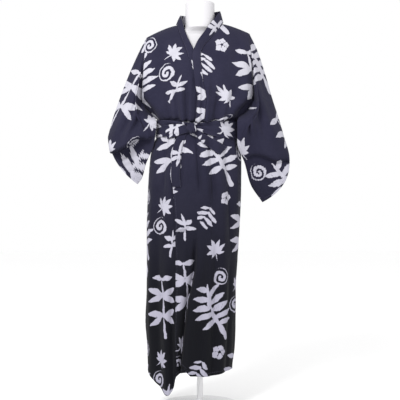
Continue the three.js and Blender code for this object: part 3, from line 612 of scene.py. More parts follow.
def printedCotton():
    look = printLook
    n = Nodes("printedCotton")
    uvNode = n.add("ShaderNodeUVMap", uv_map="clothMetres")
    uv = uvNode.outputs[0]
    parts = n.add("ShaderNodeSeparateXYZ")
    n.put(parts.inputs[0], uv)
    # the brush edge wanders a little
    drift = n.noise(uv, 26.0, 2.0)
    wander = n.vector("SCALE", n.vector("SUBTRACT", drift.outputs["Color"], (0.5, 0.5, 0.5)), scale=0.016)
    moved = n.vector("ADD", uv, wander)
    split = n.add("ShaderNodeSeparateXYZ")
    n.put(split.inputs[0], moved)
    wide, tall = look["tileWide"], look["tileTall"]
    column = n.math("FLOOR", n.math("DIVIDE", split.outputs[0], wide))
    tileX = n.math("SUBTRACT", split.outputs[0], n.math("MULTIPLY", column, wide))
    shifted = n.math("MULTIPLY_ADD", column, 0.38 * tall, split.outputs[1])
    row = n.math("FLOOR", n.math("DIVIDE", shifted, tall))
    tileY = n.math("SUBTRACT", shifted, n.math("MULTIPLY", row, tall))
    join = n.add("ShaderNodeCombineXYZ")
    n.put(join.inputs[0], tileX)
    n.put(join.inputs[1], tileY)
    p = join.outputs[0]
    distance = None
    for plant, centre, size, hand, turn in printMotifs:
        distance = motif(n, p, plant, centre, size, hand, turn, distance)
    for centre, size, thick, turn, hand in printWhirls:
        distance = n.math("MINIMUM", distance, whirl(n, p, centre, size, thick, turn, hand))
    bristle = n.noise(uv, 190.0, 3.0, 0.6)
    bristles = n.math("SUBTRACT", bristle.outputs[0], 0.5)
    frayed = n.math("MULTIPLY_ADD", bristles, 2 * look["edgeWobble"], distance)
    ink = n.ramp(frayed, -0.0006, 0.0009, 1.0, 0.0)
    dryNoise = n.noise(n.vector("MULTIPLY", uv, (1.0, 0.16, 1.0)), 420.0, 2.0, 0.55)
    dryPatch = n.noise(uv, 17.0, 1.0)
    dryStreak = n.ramp(dryNoise.outputs[0], 0.60, 0.66)
    dry = n.math("MULTIPLY", dryStreak, n.ramp(dryPatch.outputs[0], 0.50, 0.64))
    ink = n.math("MULTIPLY", ink, n.math("SUBTRACT", 1.0, n.math("MULTIPLY", dry, 0.75)))
    # faded yarn and cloudy dye at random; painted shade darkens the navy and greys the print towards the
    # hem, so the cloth is palest over the shoulders
    place = n.add("ShaderNodeSeparateXYZ")
    n.put(place.inputs[0], n.add("ShaderNodeTexCoord").outputs["Object"])
    low = place.outputs[2]
    cloud = n.noise(uv, 9.0, 3.0)
    yarn = n.noise(n.vector("MULTIPLY", uv, (1.0, 0.05, 1.0)), 900.0, 1.0)
    pick = n.noise(n.vector("MULTIPLY", uv, (0.05, 1.0, 1.0)), 900.0, 1.0)
    fade = n.math("MULTIPLY", n.math("ADD", yarn.outputs[0], pick.outputs[0]), 0.5)
    fade = n.math("MULTIPLY_ADD", cloud.outputs[0], 0.6, n.math("MULTIPLY", fade, 0.6), clamp=True)
    ground = n.mixColor(n.ramp(fade, 0.40, 0.86), look["navy"], look["navyWorn"])
    # painted shade: below 1.2 m the navy darkens by height, fully deep below 0.3 m, standing in for the
    # light falling off lower down
    ground = n.mixColor(n.ramp(low, 0.30, 1.20, 1.0, 0.0), ground, look["navyPaintedShade"])
    # the print greys at random with the cloud and, as painted shade, more and more towards the hem by height
    printCloudAndPaintedShade = n.math("MULTIPLY_ADD", cloud.outputs[0], 0.4, n.ramp(low, 0.2, 1.3, 0.9, 0.0), clamp=True)
    paint = n.mixColor(printCloudAndPaintedShade, look["white"], look["whiteCloudAndPaintedShade"])
    color = n.mixColor(ink, ground, paint)
    shader = n.add("ShaderNodeBsdfPrincipled")
    n.put(shader.inputs["Base Color"], color)
    shader.inputs["Roughness"].default_value = look["roughness"]
    shader.inputs["Specular IOR Level"].default_value = 0.18
    shader.inputs["Sheen Weight"].default_value = look["sheen"]
    shader.inputs["Sheen Roughness"].default_value = 0.5
    # plain weave
    perMetre = 2 * math.pi / look["threadStep"]
    warp, weft = (n.math("SINE", n.math("MULTIPLY", parts.outputs[k], perMetre)) for k in (0, 1))
    weave = n.math("MULTIPLY", warp, weft)
    height = n.math("MULTIPLY_ADD", weave, 0.25, n.math("MULTIPLY", fade, 0.8))
    crease = n.noise(uv, 34.0, 3.0, 0.55)
    height = n.math("MULTIPLY_ADD", crease.outputs[0], 6.0, height)
    bump = n.add("ShaderNodeBump")
    bump.inputs["Strength"].default_value = 0.55
    bump.inputs["Distance"].default_value = 0.0004
    n.put(bump.inputs["Height"], height)
    n.put(shader.inputs["Normal"], bump.outputs[0])
    out = n.add("ShaderNodeOutputMaterial")
    n.put(out.inputs[0], shader.outputs[0])
    return n.material


def satinWhite(name, color, roughness, grain):
    n = Nodes(name)
    coord = n.add("ShaderNodeTexCoord").outputs["Object"]
    cloud = n.noise(coord, 7.0, 3.0)
    fine = n.noise(coord, grain, 2.0)
    tone = n.mixColor(n.ramp(cloud.outputs[0], 0.3, 0.75), color, tuple(c * 0.965 for c in color[:3]) + (1,))
    shader = n.add("ShaderNodeBsdfPrincipled")
    n.put(shader.inputs["Base Color"], tone)
    n.put(shader.inputs["Roughness"], n.ramp(fine.outputs[0], 0.3, 0.7, roughness - 0.05, roughness + 0.05))
    bump = n.add("ShaderNodeBump")
    bump.inputs["Strength"].default_value = 0.15
    bump.inputs["Distance"].default_value = 0.0003
    n.put(bump.inputs["Height"], fine.outputs[0])
    n.put(shader.inputs["Normal"], bump.outputs[0])
    out = n.add("ShaderNodeOutputMaterial")
    n.put(out.inputs[0], shader.outputs[0])
    return n.material


cotton = printedCotton()
formWhite = satinWhite("formShell", (0.58, 0.57, 0.59, 1), 0.45, 600.0)
standWhite = satinWhite("standPaint", (0.80, 0.80, 0.81, 1), 0.32, 900.0)
print("materials made")

clothPieces = {}
surfaces = {}


# unit normals of a grid, on the side probe points to
def outwards(grid, probe):
    n = np.cross(np.gradient(grid, axis=1), np.gradient(grid, axis=0))
    n /= np.maximum(np.linalg.norm(n, axis=-1, keepdims=True), 1e-9)
    rows, columns = grid.shape[:2]
    score = 0.0
    for r in range(2, rows - 2, max(1, rows // 12)):
        for c in range(2, columns - 2, max(1, columns // 12)):
            score += float(n[r, c] @ np.array(probe(Vector(grid[r, c] / 1000.0))))
    return n if score > 0 else -n


# joins grids (points, faces, uv) into one thin piece and registers it
def clothPiece(name, nodes, grids, material, thick, probe):
    points, faces, uvs, count = [], [], [], 0
    for grid, across, up, looped, shift in grids:
        rows, columns = grid.shape[:2]
        points.append(grid.reshape(-1, 3))
        faces.append(gridFaces(rows, columns, looped, count))
        uvs.append(gridUv(across + shift[0], up + shift[1]))
        count += rows * columns
    piece = meshFrom(name, np.vstack(points), np.vstack(faces), np.vstack(uvs), material)
    if len(grids) > 1:
        weld(piece)
    turnOut(piece, probe)
    surfaces[name] = [(grid, outwards(grid, probe), looped, thick) for grid, _, _, looped, _ in grids]
    thicken(piece, thick)
    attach(piece, "root")
    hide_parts(*nodes)
    clothPieces[name] = piece
    return piece


# body halves
bodyHalf = {"frontColumns": 62, "neckColumns": 26, "skirtRows": 170, "yokeRows": 64}


# pulls the cloth in along its side seam or armhole
def seamDip(grid, across, depth=1.3, reach=5.0):
    d = np.exp(-(across / reach) ** 2) * depth
    away = grid[..., :2] / np.linalg.norm(grid[..., :2], axis=-1, keepdims=True)
    grid[..., :2] -= away * d[..., None]
    return grid


seamRun = {}


def makeBody(wing, name, shift):
    cfg = bodyHalf
    top = wing > 0
    shares = np.linspace(0.0, 1, cfg["frontColumns"])
    rows, yoke = cfg["skirtRows"], cfg["yokeRows"]
    x, z = bodyGrid(wing, shares, rows, yoke, lambda h: frontInner(wing, h), topHem if top else underHem)
    front = clothPoint(x, z, -1, topLift(x) if top else 0.0 * x)
    tip = robeShape["tipLeft"][0] if top else robeShape["tipRight"][0]
    middle = wing * 0.4
    topX = np.concatenate([x[-1], np.linspace(x[-1, -1], middle, cfg["neckColumns"] + 1)[1:]])
    backShares = (topX - tip) / (middle - tip)
    bx, bz = bodyGrid(wing, backShares, rows, yoke, lambda h: np.full(np.shape(h), middle), backHem)
    back = clothPoint(bx, bz, 1, 0.0 * bx)
    back[-1, :cfg["frontColumns"]] = front[-1]
    frontAcross, backAcross = arcs(front, 1), arcs(back, 1)
    frontUp, backUp = front[..., 2], 2 * robeShape["foldOverZ"] - back[..., 2]
    seamRun[wing] = (front[:, -1, 2], frontAcross[:, -1])
    front, back = seamDip(front, frontAcross), seamDip(back, backAcross)
    hand = "left" if top else "right"
    grids = [(front, frontAcross * wing, frontUp, False, shift),
             (back, backAcross * wing, backUp, False, shift)]
    return clothPiece(name, [f"front_panel_{hand}", f"back_panel_{hand}"], grids, cotton,
                      robeShape["clothThick"], awayFrom(0, 0))


printShift = {1: (86, 40), -1: (250, 330)}
makeBody(1, "body_left", printShift[1])
makeBody(-1, "body_right", printShift[-1])
print("body halves made")


# front overlap pieces
overlapPiece = {"columns": 60, "rows": 200, "topZ": 1172.0}
# the deep pleat beside the top edge hides a strip of cloth: heights with its x, heights with its width
pleatLine = ([120, 221, 313, 415, 540, 712, 800], [-82, -72, -63, -50, -22, -12, -12])
pleatHides = ([-100, 420, 720, 800], [62, 62, 40, 0])


def makeOverlap(wing, name, node, shift):
    cfg, s = overlapPiece, robeShape
    top = wing > 0
    edge, hem = (topEdge, topHem) if top else (underEdge, underHem)
    share = np.linspace(0, 1, cfg["columns"])[None, :]
    row = np.linspace(0, 1, cfg["rows"])[:, None]
    hemX = edgeX(edge, 140.0) + wing * share * s["overlapWidth"]
    z = mix(along(hem[:, 0], hem[:, 1], hemX), cfg["topZ"], row)
    width = overlapShare(z) + 2.5
    x = edgeX(edge, z) + wing * width * share
    lift = topLift(x) if top else 0.0 * x
    seam = np.exp(-(((1 - share) * width) / 5.0) ** 2)
    grid = clothPoint(x, z, -1, lift - 1.2 * seam)
    seamZ, seamAcross = seamRun[wing]
    fromEdge = arcs(grid, 1)
    pleat = 0 * z
    if top:
        pleat = along(*pleatHides, z) * (1 - smoothStep(-3, 3, x - along(*pleatLine, z)))
    across = np.interp(grid[:, -1, 2], seamZ, seamAcross)[:, None] + fromEdge[:, -1:] - fromEdge + pleat
    grids = [(grid, across * wing, grid[..., 2], False, shift)]
    return clothPiece(name, [node], grids, cotton, s["clothThick"], awayFrom(0, 0))


makeOverlap(1, "overlap_left", "overlap_panel_left", printShift[1])
underShift = (printShift[-1][0] - 130, printShift[-1][1] + 210)
makeOverlap(-1, "overlap_right", "overlap_panel_right", underShift)
print("overlap pieces made")


# collar
collarBand = {"rowsBelow": 130, "rowsNeck": 150, "columns": 9, "thick": 2.2, "under": 6.0,
              "topZ": 1392.0, "blend": 24}


# even smooth curve through points
def spline(points, count):
    points = np.asarray(points, float)
    run = np.concatenate([[0], np.cumsum(np.linalg.norm(np.diff(points, axis=0), axis=1) ** 0.5)])
    at = np.linspace(0, run[-1], count)
    m = np.gradient(points, run, axis=0)
    i = np.clip(np.searchsorted(run, at, side="right") - 1, 0, len(run) - 2)
    span = (run[i + 1] - run[i])[:, None]
    t = (at - run[i])[:, None] / span
    h = t * t * (3 - 2 * t)
    straight = points[i] * (1 - h) + points[i + 1] * h
    return straight + t * (1 - t) ** 2 * span * m[i] + t * t * (t - 1) * span * m[i + 1]


def makeCollar(shift):
    cfg, s = collarBand, robeShape
    share = np.linspace(0, 1, cfg["columns"])[None, :]

    def below(wing):
        z = np.linspace(s["collarEndZ"], cfg["topZ"], cfg["rowsBelow"])[:, None]
        edge = topEdge if wing > 0 else underEdge
        free = edgeX(edge, z) - wing * 0.8
        x = free + wing * (s["collarWidth"] + cfg["under"]) * share
        lift = s["collarLift"] + 0.8 * np.sin(math.pi * share) + (topLift(x) if wing > 0 else 0.0)
        return clothPoint(x, z + 0 * x, -1, lift)

    right, left = below(-1), below(1)[::-1]
    # short run of real points at both joints keeps the band smooth
    blend = cfg["blend"]
    freeKeys = np.vstack([right[-blend:-1:8, 0], collarNeck[:, :3], left[1:blend:8, 0]])
    seamKeys = np.vstack([right[-blend:-1:8, -1], collarNeck[:, 3:], left[1:blend:8, -1]])
    free, seam = spline(freeKeys, cfg["rowsNeck"]), spline(seamKeys, cfg["rowsNeck"])
    neck = free[:, None, :] * (1 - share[..., None]) + seam[:, None, :] * share[..., None]
    out = neck[..., :2] / np.linalg.norm(neck[..., :2], axis=-1, keepdims=True)
    neck[..., :2] += out * (2.0 * np.sin(math.pi * share))[..., None]
    grid = np.vstack([right[:-blend], neck, left[blend:]])
    across = arcs(grid, 1)
    up = arcs(grid, 0).mean(1)[:, None] + 0 * across
    grids = [(grid, across, up, False, shift)]
    return clothPiece("collar", ["collar_band"], grids, cotton, cfg["thick"], awayFrom(0, 0))


makeCollar((40, 500))
print("collar made")


# sleeves
# stations from the armhole to the cuff: topX, topZ, lowX, lowZ, front, back, centre, bulge, lean, nose
sleeveRight = {
    "mirror": -1, "name": "sleeve_right_cloth", "node": "sleeve_right", "shift": (210, 120), "turn": 24,
    "stations": [
        (-214, 1469, -234, 1205, 43, 43, 0, 0, 1, 0),
        (-250, 1398, -171, 1124, 58, 50, -4, 60, 3, -76),
        (-288, 1311, -181, 1044, 64, 54, -6, 18, 2, -58),
        (-322, 1222, -214, 966, 64, 46, -8, 6, 1, -30),
        (-350, 1140, -232, 908, 62, 42, -8, 14, 1, -8),
        (-368, 1074, -250, 884, 56, 36, -8, 22, 1, 0)],
    "tuck": [(0, 5.3), (0.2, 5.1), (0.36, 4.55), (0.5, 3.75), (0.62, 3.0), (0.81, 2.2), (1, 1.7)],
    "tuckDepth": 0.86, "tuckSoft": 0.10, "lip": 16.0,
    "frontFolds": [
        fold([(10, 90), (200, 108), (400, 84)], 15, -9),
        fold([(10, 150), (190, 160), (300, 132)], 12, -11),
        fold([(30, 45), (240, 60), (430, 44)], 15, 6),
        fold([(20, 120), (210, 134), (350, 112)], 13, 7),
        fold([(0, 215), (120, 222), (190, 200)], 12, -9),
        fold([(0, 240), (80, 242), (150, 236)], 8, 6),
        fold([(330, 190), (420, 160), (460, 150)], 12, 8),
        fold([(360, 230), (420, 205), (460, 200)], 9, -6)],
    "backFolds": [
        fold([(10, 80), (220, 100), (440, 90)], 18, -9),
        fold([(10, 150), (200, 160), (440, 150)], 15, 8),
        fold([(0, 210), (160, 216), (400, 200)], 13, -8)],
}
sleeveLeft = {
    "mirror": 1, "name": "sleeve_left_cloth", "node": "sleeve_left", "shift": (150, 330), "turn": -58,
    "stations": [
        (197, 1486, 213, 1205, 43, 43, 0, 0, 1, 0),
        (229, 1418, 146, 1126, 58, 50, -4, 60, 3, -98),
        (261, 1322, 146, 1048, 64, 52, -6, 18, 2, -88),
        (289, 1226, 178, 966, 64, 50, -8, 8, 1, -30),
        (318, 1136, 202, 884, 60, 46, -8, 28, 1, -8),
        (342, 1052, 250, 812, 52, 40, -8, 48, 1, 0)],
    "tuck": [(0, 5.8), (0.24, 5.0), (0.28, 4.75), (0.5, 4.1), (0.72, 3.3), (0.86, 2.95), (1, 2.8)],
    "tuckDepth": 0.34, "tuckSoft": 0.07, "lip": 13.0,
    "frontFolds": [
        fold([(4, 214), (110, 196), (270, 196)], 9, -13, fadeIn=0.1),
        fold([(4, 186), (110, 170), (260, 172)], 13, 8, fadeIn=0.1),
        fold([(90, 246), (210, 236), (250, 232)], 10, -8),
        fold([(40, 60), (230, 76), (420, 70)], 20, 6),
        fold([(60, 118), (240, 124), (350, 116)], 14, -7),
        fold([(400, 130), (450, 150), (470, 170)], 14, 7),
        fold([(300, 236), (400, 214), (470, 214)], 11, -8)],
    "backFolds": [
        fold([(10, 90), (220, 110), (440, 100)], 18, -9),
        fold([(10, 160), (200, 170), (440, 160)], 15, 8),
        fold([(0, 220), (160, 226), (400, 214)], 13, -8)],
}
sleeveGrid = {"rows": 150, "half": 62, "alongStep": 92.0, "acrossStep": 265.0}


# unrolls the sleeve over its top fold, then turns the print
def sleeveUv(grid, half, degrees):
    loop = np.concatenate([grid, grid[:, :1]], 1)
    full = arcs(loop, 1)
    flat = arcs(loop[..., [0, 2]], 1)
    plane = loop[..., [0, 2]]
    fold = plane[:, half:half + 1]
    down = plane[:, -1:] - fold
    down = down / np.linalg.norm(down, axis=-1, keepdims=True)
    grown = np.abs(full - full[:, half:half + 1]) - np.abs(flat - flat[:, half:half + 1])
    place = plane - fold + down * grown[..., None]
    line = fold[-1, 0] - fold[0, 0]
    line = line / np.linalg.norm(line)
    mirrored = 2 * (place @ line)[..., None] * line - place
    place = np.where(np.arange(loop.shape[1])[None, :, None] < half, mirrored, place) + fold
    a = math.radians(degrees)
    u = place[..., 0] * math.cos(a) - place[..., 1] * math.sin(a)
    v = place[..., 0] * math.sin(a) + place[..., 1] * math.cos(a)
    return u + 1000, v


def makeSleeve(cfg):
    g = sleeveGrid
    table = np.array(cfg["stations"], float)
    at = np.linspace(0, 5, g["rows"])[:, None]
    turn = np.arange(2 * g["half"])[None, :] / g["half"]
    # the loop starts at the lower edge, goes up the back, over the fold and down the front
    w = (1 + np.cos(math.pi * turn)) / 2
    front = turn > 1
    col = lambda k: along(np.arange(6), table[:, k], at)
    lens = power(np.sin(math.pi * w), 0.75)
    lean = col(8)
    bulge = col(7) * power(w, lean) * (1 - w) * (lean + 1) ** (lean + 1) / lean ** lean
    x = mix(col(0), col(2), w) + cfg["mirror"] * bulge
    z = mix(col(1), col(3), w) - 0.45 * bulge
    tuck = np.array(cfg["tuck"])
    line = along(tuck[:, 0], tuck[:, 1], w) + 0.05 * softNoise(w * 300, at * 0, 40, 40, 21)
    step = smoothStep(line - cfg["tuckSoft"], line + cfg["tuckSoft"], at)
    depth = np.where(front, col(4) * (1 - cfg["tuckDepth"] * step), col(5))
    a, b = at * g["alongStep"] + 0 * w, w * g["acrossStep"] + 0 * at
    folds = np.where(front, foldField(cfg["frontFolds"], a, b), foldField(cfg["backFolds"], a, b))
    noise = (2.6 * softNoise(b + np.where(front, 0, 600), a, 46, 190, 23)
             + 1.4 * softNoise(b + np.where(front, 0, 600), a, 21, 70, 25))
    soft = smoothStep(0, 0.12, w) * smoothStep(0, 0.12, 1 - w) * smoothStep(0, 0.35, at)
    depth = depth + (folds + noise) * soft
    depth = np.maximum(depth, 3.0)
    side = np.where(front, -1.0, 1.0)
    y = col(6) * lens + side * depth * lens + col(9) * w * w * smoothStep(0, 1, at)
    # the upper part hangs a little over the tuck
    near = np.exp(-((at - line + 0.04) / 0.10) ** 2) * smoothStep(0.04, 0.2, w) * smoothStep(0, 0.15, 1 - w)
    z = z - np.where(front, cfg["lip"] * near, 0) + 0 * y
    pucker = np.exp(-(at * g["alongStep"] / 6.0) ** 2) * smoothStep(0, 0.1, w) * smoothStep(0, 0.1, 1 - w)
    y = y - side * 1.5 * pucker
    grid = np.stack([x + 0 * y, y, z], -1)
    across, up = sleeveUv(grid, g["half"], cfg["turn"])
    grids = [(grid, across, up, True, cfg["shift"])]
    middleY = -0.008  # metres, between the front and back layers
    outside = lambda c: Vector((0, -1, 0)) if c.y < middleY else Vector((0, 1, 0))
    return clothPiece(cfg["name"], [cfg["node"]], grids, cotton, robeShape["clothThick"], outside)


makeSleeve(sleeveRight)
makeSleeve(sleeveLeft)
print("sleeves made")


# belt
belt = {"width": 68.0, "columns": 320, "rows": 19, "thick": 2.0, "z": 1100.0, "clear": 4.2,
        "pinch": 0.60, "pinchReach": 0.42, "knotTurn": math.pi + 0.14, "shift": (150, 260)}


def beltDepth(x, side, grow):
    centre, half, front, back = (float(v) for v in ringAt(np.array(robeShape["waistZ"])))
    t = np.clip((x - centre) / (half + grow), -1, 1)
    return ((front if side < 0 else back) + grow) * power(1 - t * t, robeShape["fullness"] / 2)


def makeBelt():
    cfg, s = belt, robeShape
    turn = np.linspace(0, 2 * math.pi, cfg["columns"], endpoint=False)[None, :]
    share = np.linspace(-0.5, 0.5, cfg["rows"])[:, None]
    centre, half, front, back = (float(v) for v in ringAt(np.array(robeShape["waistZ"])))
    sine, cosine = np.sin(turn), np.cos(turn)
    side = np.where(cosine < 0, -1.0, 1.0)
    grow = cfg["clear"] + s["layerStep"] * (1 - cosine) / 2
    ring = turn * 180.0
    # crushed cloth: long low creases along the belt and a pinch at the knot
    knot = np.exp(-((turn - cfg["knotTurn"]) / cfg["pinchReach"]) ** 2)
    squeeze = 1 - cfg["pinch"] * knot
    fan = share * cfg["width"] / squeeze * 0.8
    crease = 2.4 * softNoise(ring, fan, 170, 11, 31) + 1.6 * softNoise(ring, fan, 80, 6.5, 33)
    crease = crease - 3.0 * np.exp(-((share - 0.14 - 0.1 * np.sin(turn * 3)) / 0.06) ** 2)
    wander = 2.0 * softNoise(ring, share * 0, 90, 90, 35)
    z = cfg["z"] - 4.5 * sine + 6 * knot + share * cfg["width"] * squeeze + wander
    puff = 3.0 * np.abs(2 * share) ** 2 * np.abs(cosine)
    out = grow + puff + np.maximum(crease, -4.0) + 1.5
    x = centre + (half + out) * sine
    y = side * ((np.where(side < 0, front, back)) + out) * power(np.abs(cosine), s["fullness"])
    grid = np.stack([x, y, z], -1)
    loop = np.concatenate([grid, grid[:, :1]], 1)
    grids = [(grid, arcs(loop, 1), arcs(loop, 0), True, cfg["shift"])]
    return clothPiece("belt_round", ["belt_band"], grids, cotton, cfg["thick"], awayFrom(-10, 0))


makeBelt()

# centre line of each free end: x, z, width, tilt of its width, lift off the cloth
tailEnd = {"name": "belt_end", "node": "belt_tail", "shift": (330, 150),
           "line": [(-26, 1093, 15, 66, 9), (-6, 1078, 24, 58, 10), (20, 1057, 34, 53, 8),
                    (52, 1036, 40, 50, 5), (92, 1012, 43, 47, 4)], "thick": 2.4}
loopEnd = {"name": "belt_bow", "node": "belt_loop", "shift": (30, 330),
           "line": [(-44, 1096, 22, 96, 9), (-66, 1097, 36, 98, 9), (-98, 1093, 48, 101, 7),
                    (-134, 1086, 56, 104, 6)], "thick": 2.4}


def makeEnd(cfg):
    s = robeShape
    line = spline(cfg["line"], 70)
    share = np.linspace(-0.5, 0.5, 13)[None, :]
    tilt = np.radians(line[:, 3])[:, None]
    off = share * line[:, 2:3]
    x = line[:, 0:1] + off * np.cos(tilt)
    z = line[:, 1:2] + off * np.sin(tilt)
    overBelt = beltDepth(x, -1, belt["clear"] + s["layerStep"] + 4.5) * smoothStep(1072, 1080, z)
    overCloth = -clothPoint(x, z, -1, topLift(x) + 2.5)[..., 1]
    run = np.linspace(0, 1, 70)[:, None]
    crease = 1.6 * np.exp(-((share + 0.16) / 0.07) ** 2) - 1.2 * np.exp(-((share - 0.2) / 0.06) ** 2)
    wave = 1.5 * np.sin(run * 7 + share * 3)
    smooth = np.maximum(overBelt, overCloth)
    for _ in range(6):
        smooth[1:-1] = (smooth[:-2] + 2 * smooth[1:-1] + smooth[2:]) / 4
    y = -(smooth + line[:, 4:5] * 0.6 + crease * (1 - 0.6 * run) + wave)
    grid = np.stack([x, y, z], -1)
    grids = [(grid, arcs(grid, 1), arcs(grid, 0), False, cfg["shift"])]
    return clothPiece(cfg["name"], [cfg["node"]], grids, cotton, cfg["thick"], lambda c: Vector((0, -1, 0)))


makeEnd(tailEnd)
makeEnd(loopEnd)

# the knot is a short length of belt wrapped over the crossing
knotShape = {"x": -33.0, "y": -127.5, "z": 1100.0, "wide": 33.0, "deep": 11.5, "tall": 20.0, "turn": -16.0,
             "thick": 2.2, "shift": (95, 20)}


def makeKnot():
    k = knotShape
    lon = np.linspace(0, 2 * math.pi, 120, endpoint=False)[None, :]
    share = np.linspace(-1, 1, 41)[:, None]
    box = lambda v, e: np.sign(v) * np.abs(v) ** e
    curl = power(1 - np.abs(share) ** 3.2 * 0.72, 0.5)
    fold = 0.11 * np.sin(8.5 * share + 0.8 * np.sin(lon + 0.5)) + 0.05 * np.sin(17 * share + 2 * np.sin(lon))
    r = curl * (1 + fold)
    x = share * k["wide"] / 2 * (1 - 0.16 * np.abs(np.cos(lon)) ** 2) + 1.5 * np.sin(2 * lon)
    y = box(np.sin(lon), 0.8) * k["deep"] * r
    z = box(np.cos(lon), 0.8) * k["tall"] * r
    a = math.radians(k["turn"])
    turnedX = x * math.cos(a) + z * math.sin(a) + k["x"]
    turnedZ = -x * math.sin(a) + z * math.cos(a) + k["z"]
    grid = np.stack([turnedX, y + k["y"], turnedZ], -1)
    loop = np.concatenate([grid, grid[:, :1]], 1)
    grids = [(grid, arcs(loop, 1), arcs(loop, 0), True, k["shift"])]
    outside = lambda c: Vector((0, c.y * 1000 - k["y"], c.z * 1000 - k["z"]))
    return clothPiece("belt_knot_wrap", ["belt_knot"], grids, cotton, k["thick"], outside)


makeKnot()
print("belt made")


# stitching
thread = {"spacing": 0.0062, "length": 0.0034, "radius": 0.00030, "proud": 0.15, "sides": 6,
          "color": (0.05, 0.048, 0.085, 1), "paleColor": (0.11, 0.105, 0.16, 1)}


def threadMaterial():
    n = Nodes("sewingThread")
    coord = n.add("ShaderNodeTexCoord").outputs["Object"]
    twist = n.noise(coord, 2600.0, 1.0)
    shader = n.add("ShaderNodeBsdfPrincipled")
    n.put(shader.inputs["Base Color"], n.mixColor(twist.outputs[0], thread["color"], thread["paleColor"]))
    shader.inputs["Roughness"].default_value = 0.7
    out = n.add("ShaderNodeOutputMaterial")
    n.put(out.inputs[0], shader.outputs[0])
    return n.material


# stitches set at even steps along every edge path of the mesh
def stitchGroup():
    group = bpy.data.node_groups.new("stitchesAlongPath", "GeometryNodeTree")
    face = group.interface
    face.new_socket("Geometry", in_out="INPUT", socket_type="NodeSocketGeometry")
    face.new_socket("Geometry", in_out="OUTPUT", socket_type="NodeSocketGeometry")
    for label in ("Spacing", "Stitch Length", "Thread Radius"):
        face.new_socket(label, in_out="INPUT", socket_type="NodeSocketFloat")
    face.new_socket("Thread", in_out="INPUT", socket_type="NodeSocketMaterial")
    add, link = group.nodes.new, group.links.new
    start, end = add("NodeGroupInput"), add("NodeGroupOutput")
    curve, even = add("GeometryNodeMeshToCurve"), add("GeometryNodeResampleCurve")
    even.mode = "LENGTH"
    stitch = add("GeometryNodeMeshCylinder")
    stitch.inputs["Vertices"].default_value = thread["sides"]
    tangent, align = add("GeometryNodeInputTangent"), add("FunctionNodeAlignRotationToVector")
    align.axis = "Z"
    place, real = add("GeometryNodeInstanceOnPoints"), add("GeometryNodeRealizeInstances")
    paint = add("GeometryNodeSetMaterial")
    link(start.outputs["Geometry"], curve.inputs["Mesh"])
    link(curve.outputs["Curve"], even.inputs["Curve"])
    link(start.outputs["Spacing"], even.inputs["Length"])
    link(start.outputs["Thread Radius"], stitch.inputs["Radius"])
    link(start.outputs["Stitch Length"], stitch.inputs["Depth"])
    link(even.outputs["Curve"], place.inputs["Points"])
    link(stitch.outputs["Mesh"], place.inputs["Instance"])
    link(tangent.outputs["Tangent"], align.inputs["Vector"])
    link(align.outputs["Rotation"], place.inputs["Rotation"])
    link(place.outputs["Instances"], real.inputs["Geometry"])
    link(real.outputs["Geometry"], paint.inputs["Geometry"])
    link(start.outputs["Thread"], paint.inputs["Material"])
    link(paint.outputs["Geometry"], end.inputs["Geometry"])
    return group


# rows or columns of each cloth that carry stitches: cloth, part, "row" or "column", how far in, millimetres
stitchLines = [
    ("body_left", 0, "row", 12), ("body_left", 1, "row", 12),
    ("body_right", 0, "row", 12), ("body_right", 1, "row", 12),
    ("overlap_left", 0, "row", 12), ("overlap_right", 0, "row", 12),
    ("overlap_left", 0, "column", 6), ("collar", 0, "column", -2.5),
    ("sleeve_right_cloth", 0, "row", -9), ("sleeve_left_cloth", 0, "row", -9),
    ("belt_round", 0, "row", 3), ("belt_round", 0, "row", -3),
    ("belt_end", 0, "column", 2.5), ("belt_end", 0, "column", -2.5),
    ("belt_bow", 0, "column", 2.5), ("belt_bow", 0, "column", -2.5),
    ("belt_end", 0, "row", -3)]


# points a set distance in from the first or last row or column
def linePath(grid, normals, kind, distance):
    if kind == "column":
        grid, normals = grid.transpose(1, 0, 2), normals.transpose(1, 0, 2)
    if distance < 0:
        grid, normals = grid[::-1], normals[::-1]
    run = arcs(grid, 0)
    out, away = np.empty(grid.shape[1:]), np.empty(grid.shape[1:])
    for c in range(grid.shape[1]):
        for k in range(3):
            out[c, k] = np.interp(abs(distance), run[:, c], grid[:, c, k])
            away[c, k] = np.interp(abs(distance), run[:, c], normals[:, c, k])
    return out, away / np.linalg.norm(away, axis=-1, keepdims=True)


def makeStitching():
    points, edges = [], []
    for name, part, kind, distance in stitchLines:
        grid, normals, looped, thick = surfaces[name][part]
        path, away = linePath(grid, normals, kind, distance)
        path = path + away * (thick / 2 + thread["proud"])
        first = len(points)
        points += path.tolist()
        edges += [(first + i, first + i + 1) for i in range(len(path) - 1)]
        if looped and kind == "row":
            edges.append((first + len(path) - 1, first))
    mesh = bpy.data.meshes.new("stitchPaths")
    mesh.from_pydata((np.array(points) / 1000.0).tolist(), edges, [])
    paths = bpy.data.objects.new("stitchPaths", mesh)
    bpy.context.scene.collection.objects.link(paths)
    group = stitchGroup()
    modifier = paths.modifiers.new("stitches", "NODES")
    modifier.node_group = group
    values = {"Spacing": thread["spacing"], "Stitch Length": thread["length"],
              "Thread Radius": thread["radius"], "Thread": threadMaterial()}
    for item in group.interface.items_tree:
        if item.in_out == "INPUT" and item.name in values:
            modifier[item.identifier] = values[item.name]
    graph = bpy.context.evaluated_depsgraph_get()
    made = bpy.data.meshes.new_from_object(paths.evaluated_get(graph), depsgraph=graph)
    bpy.data.objects.remove(paths)
    made.polygons.foreach_set("use_smooth", [True] * len(made.polygons))
    piece = bpy.data.objects.new("stitching", made)
    bpy.context.scene.collection.objects.link(piece)
    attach(piece, "root")
    print("stitches", len(made.polygons) // (thread["sides"] + 2))
    return piece


makeStitching()
print("stitching made")


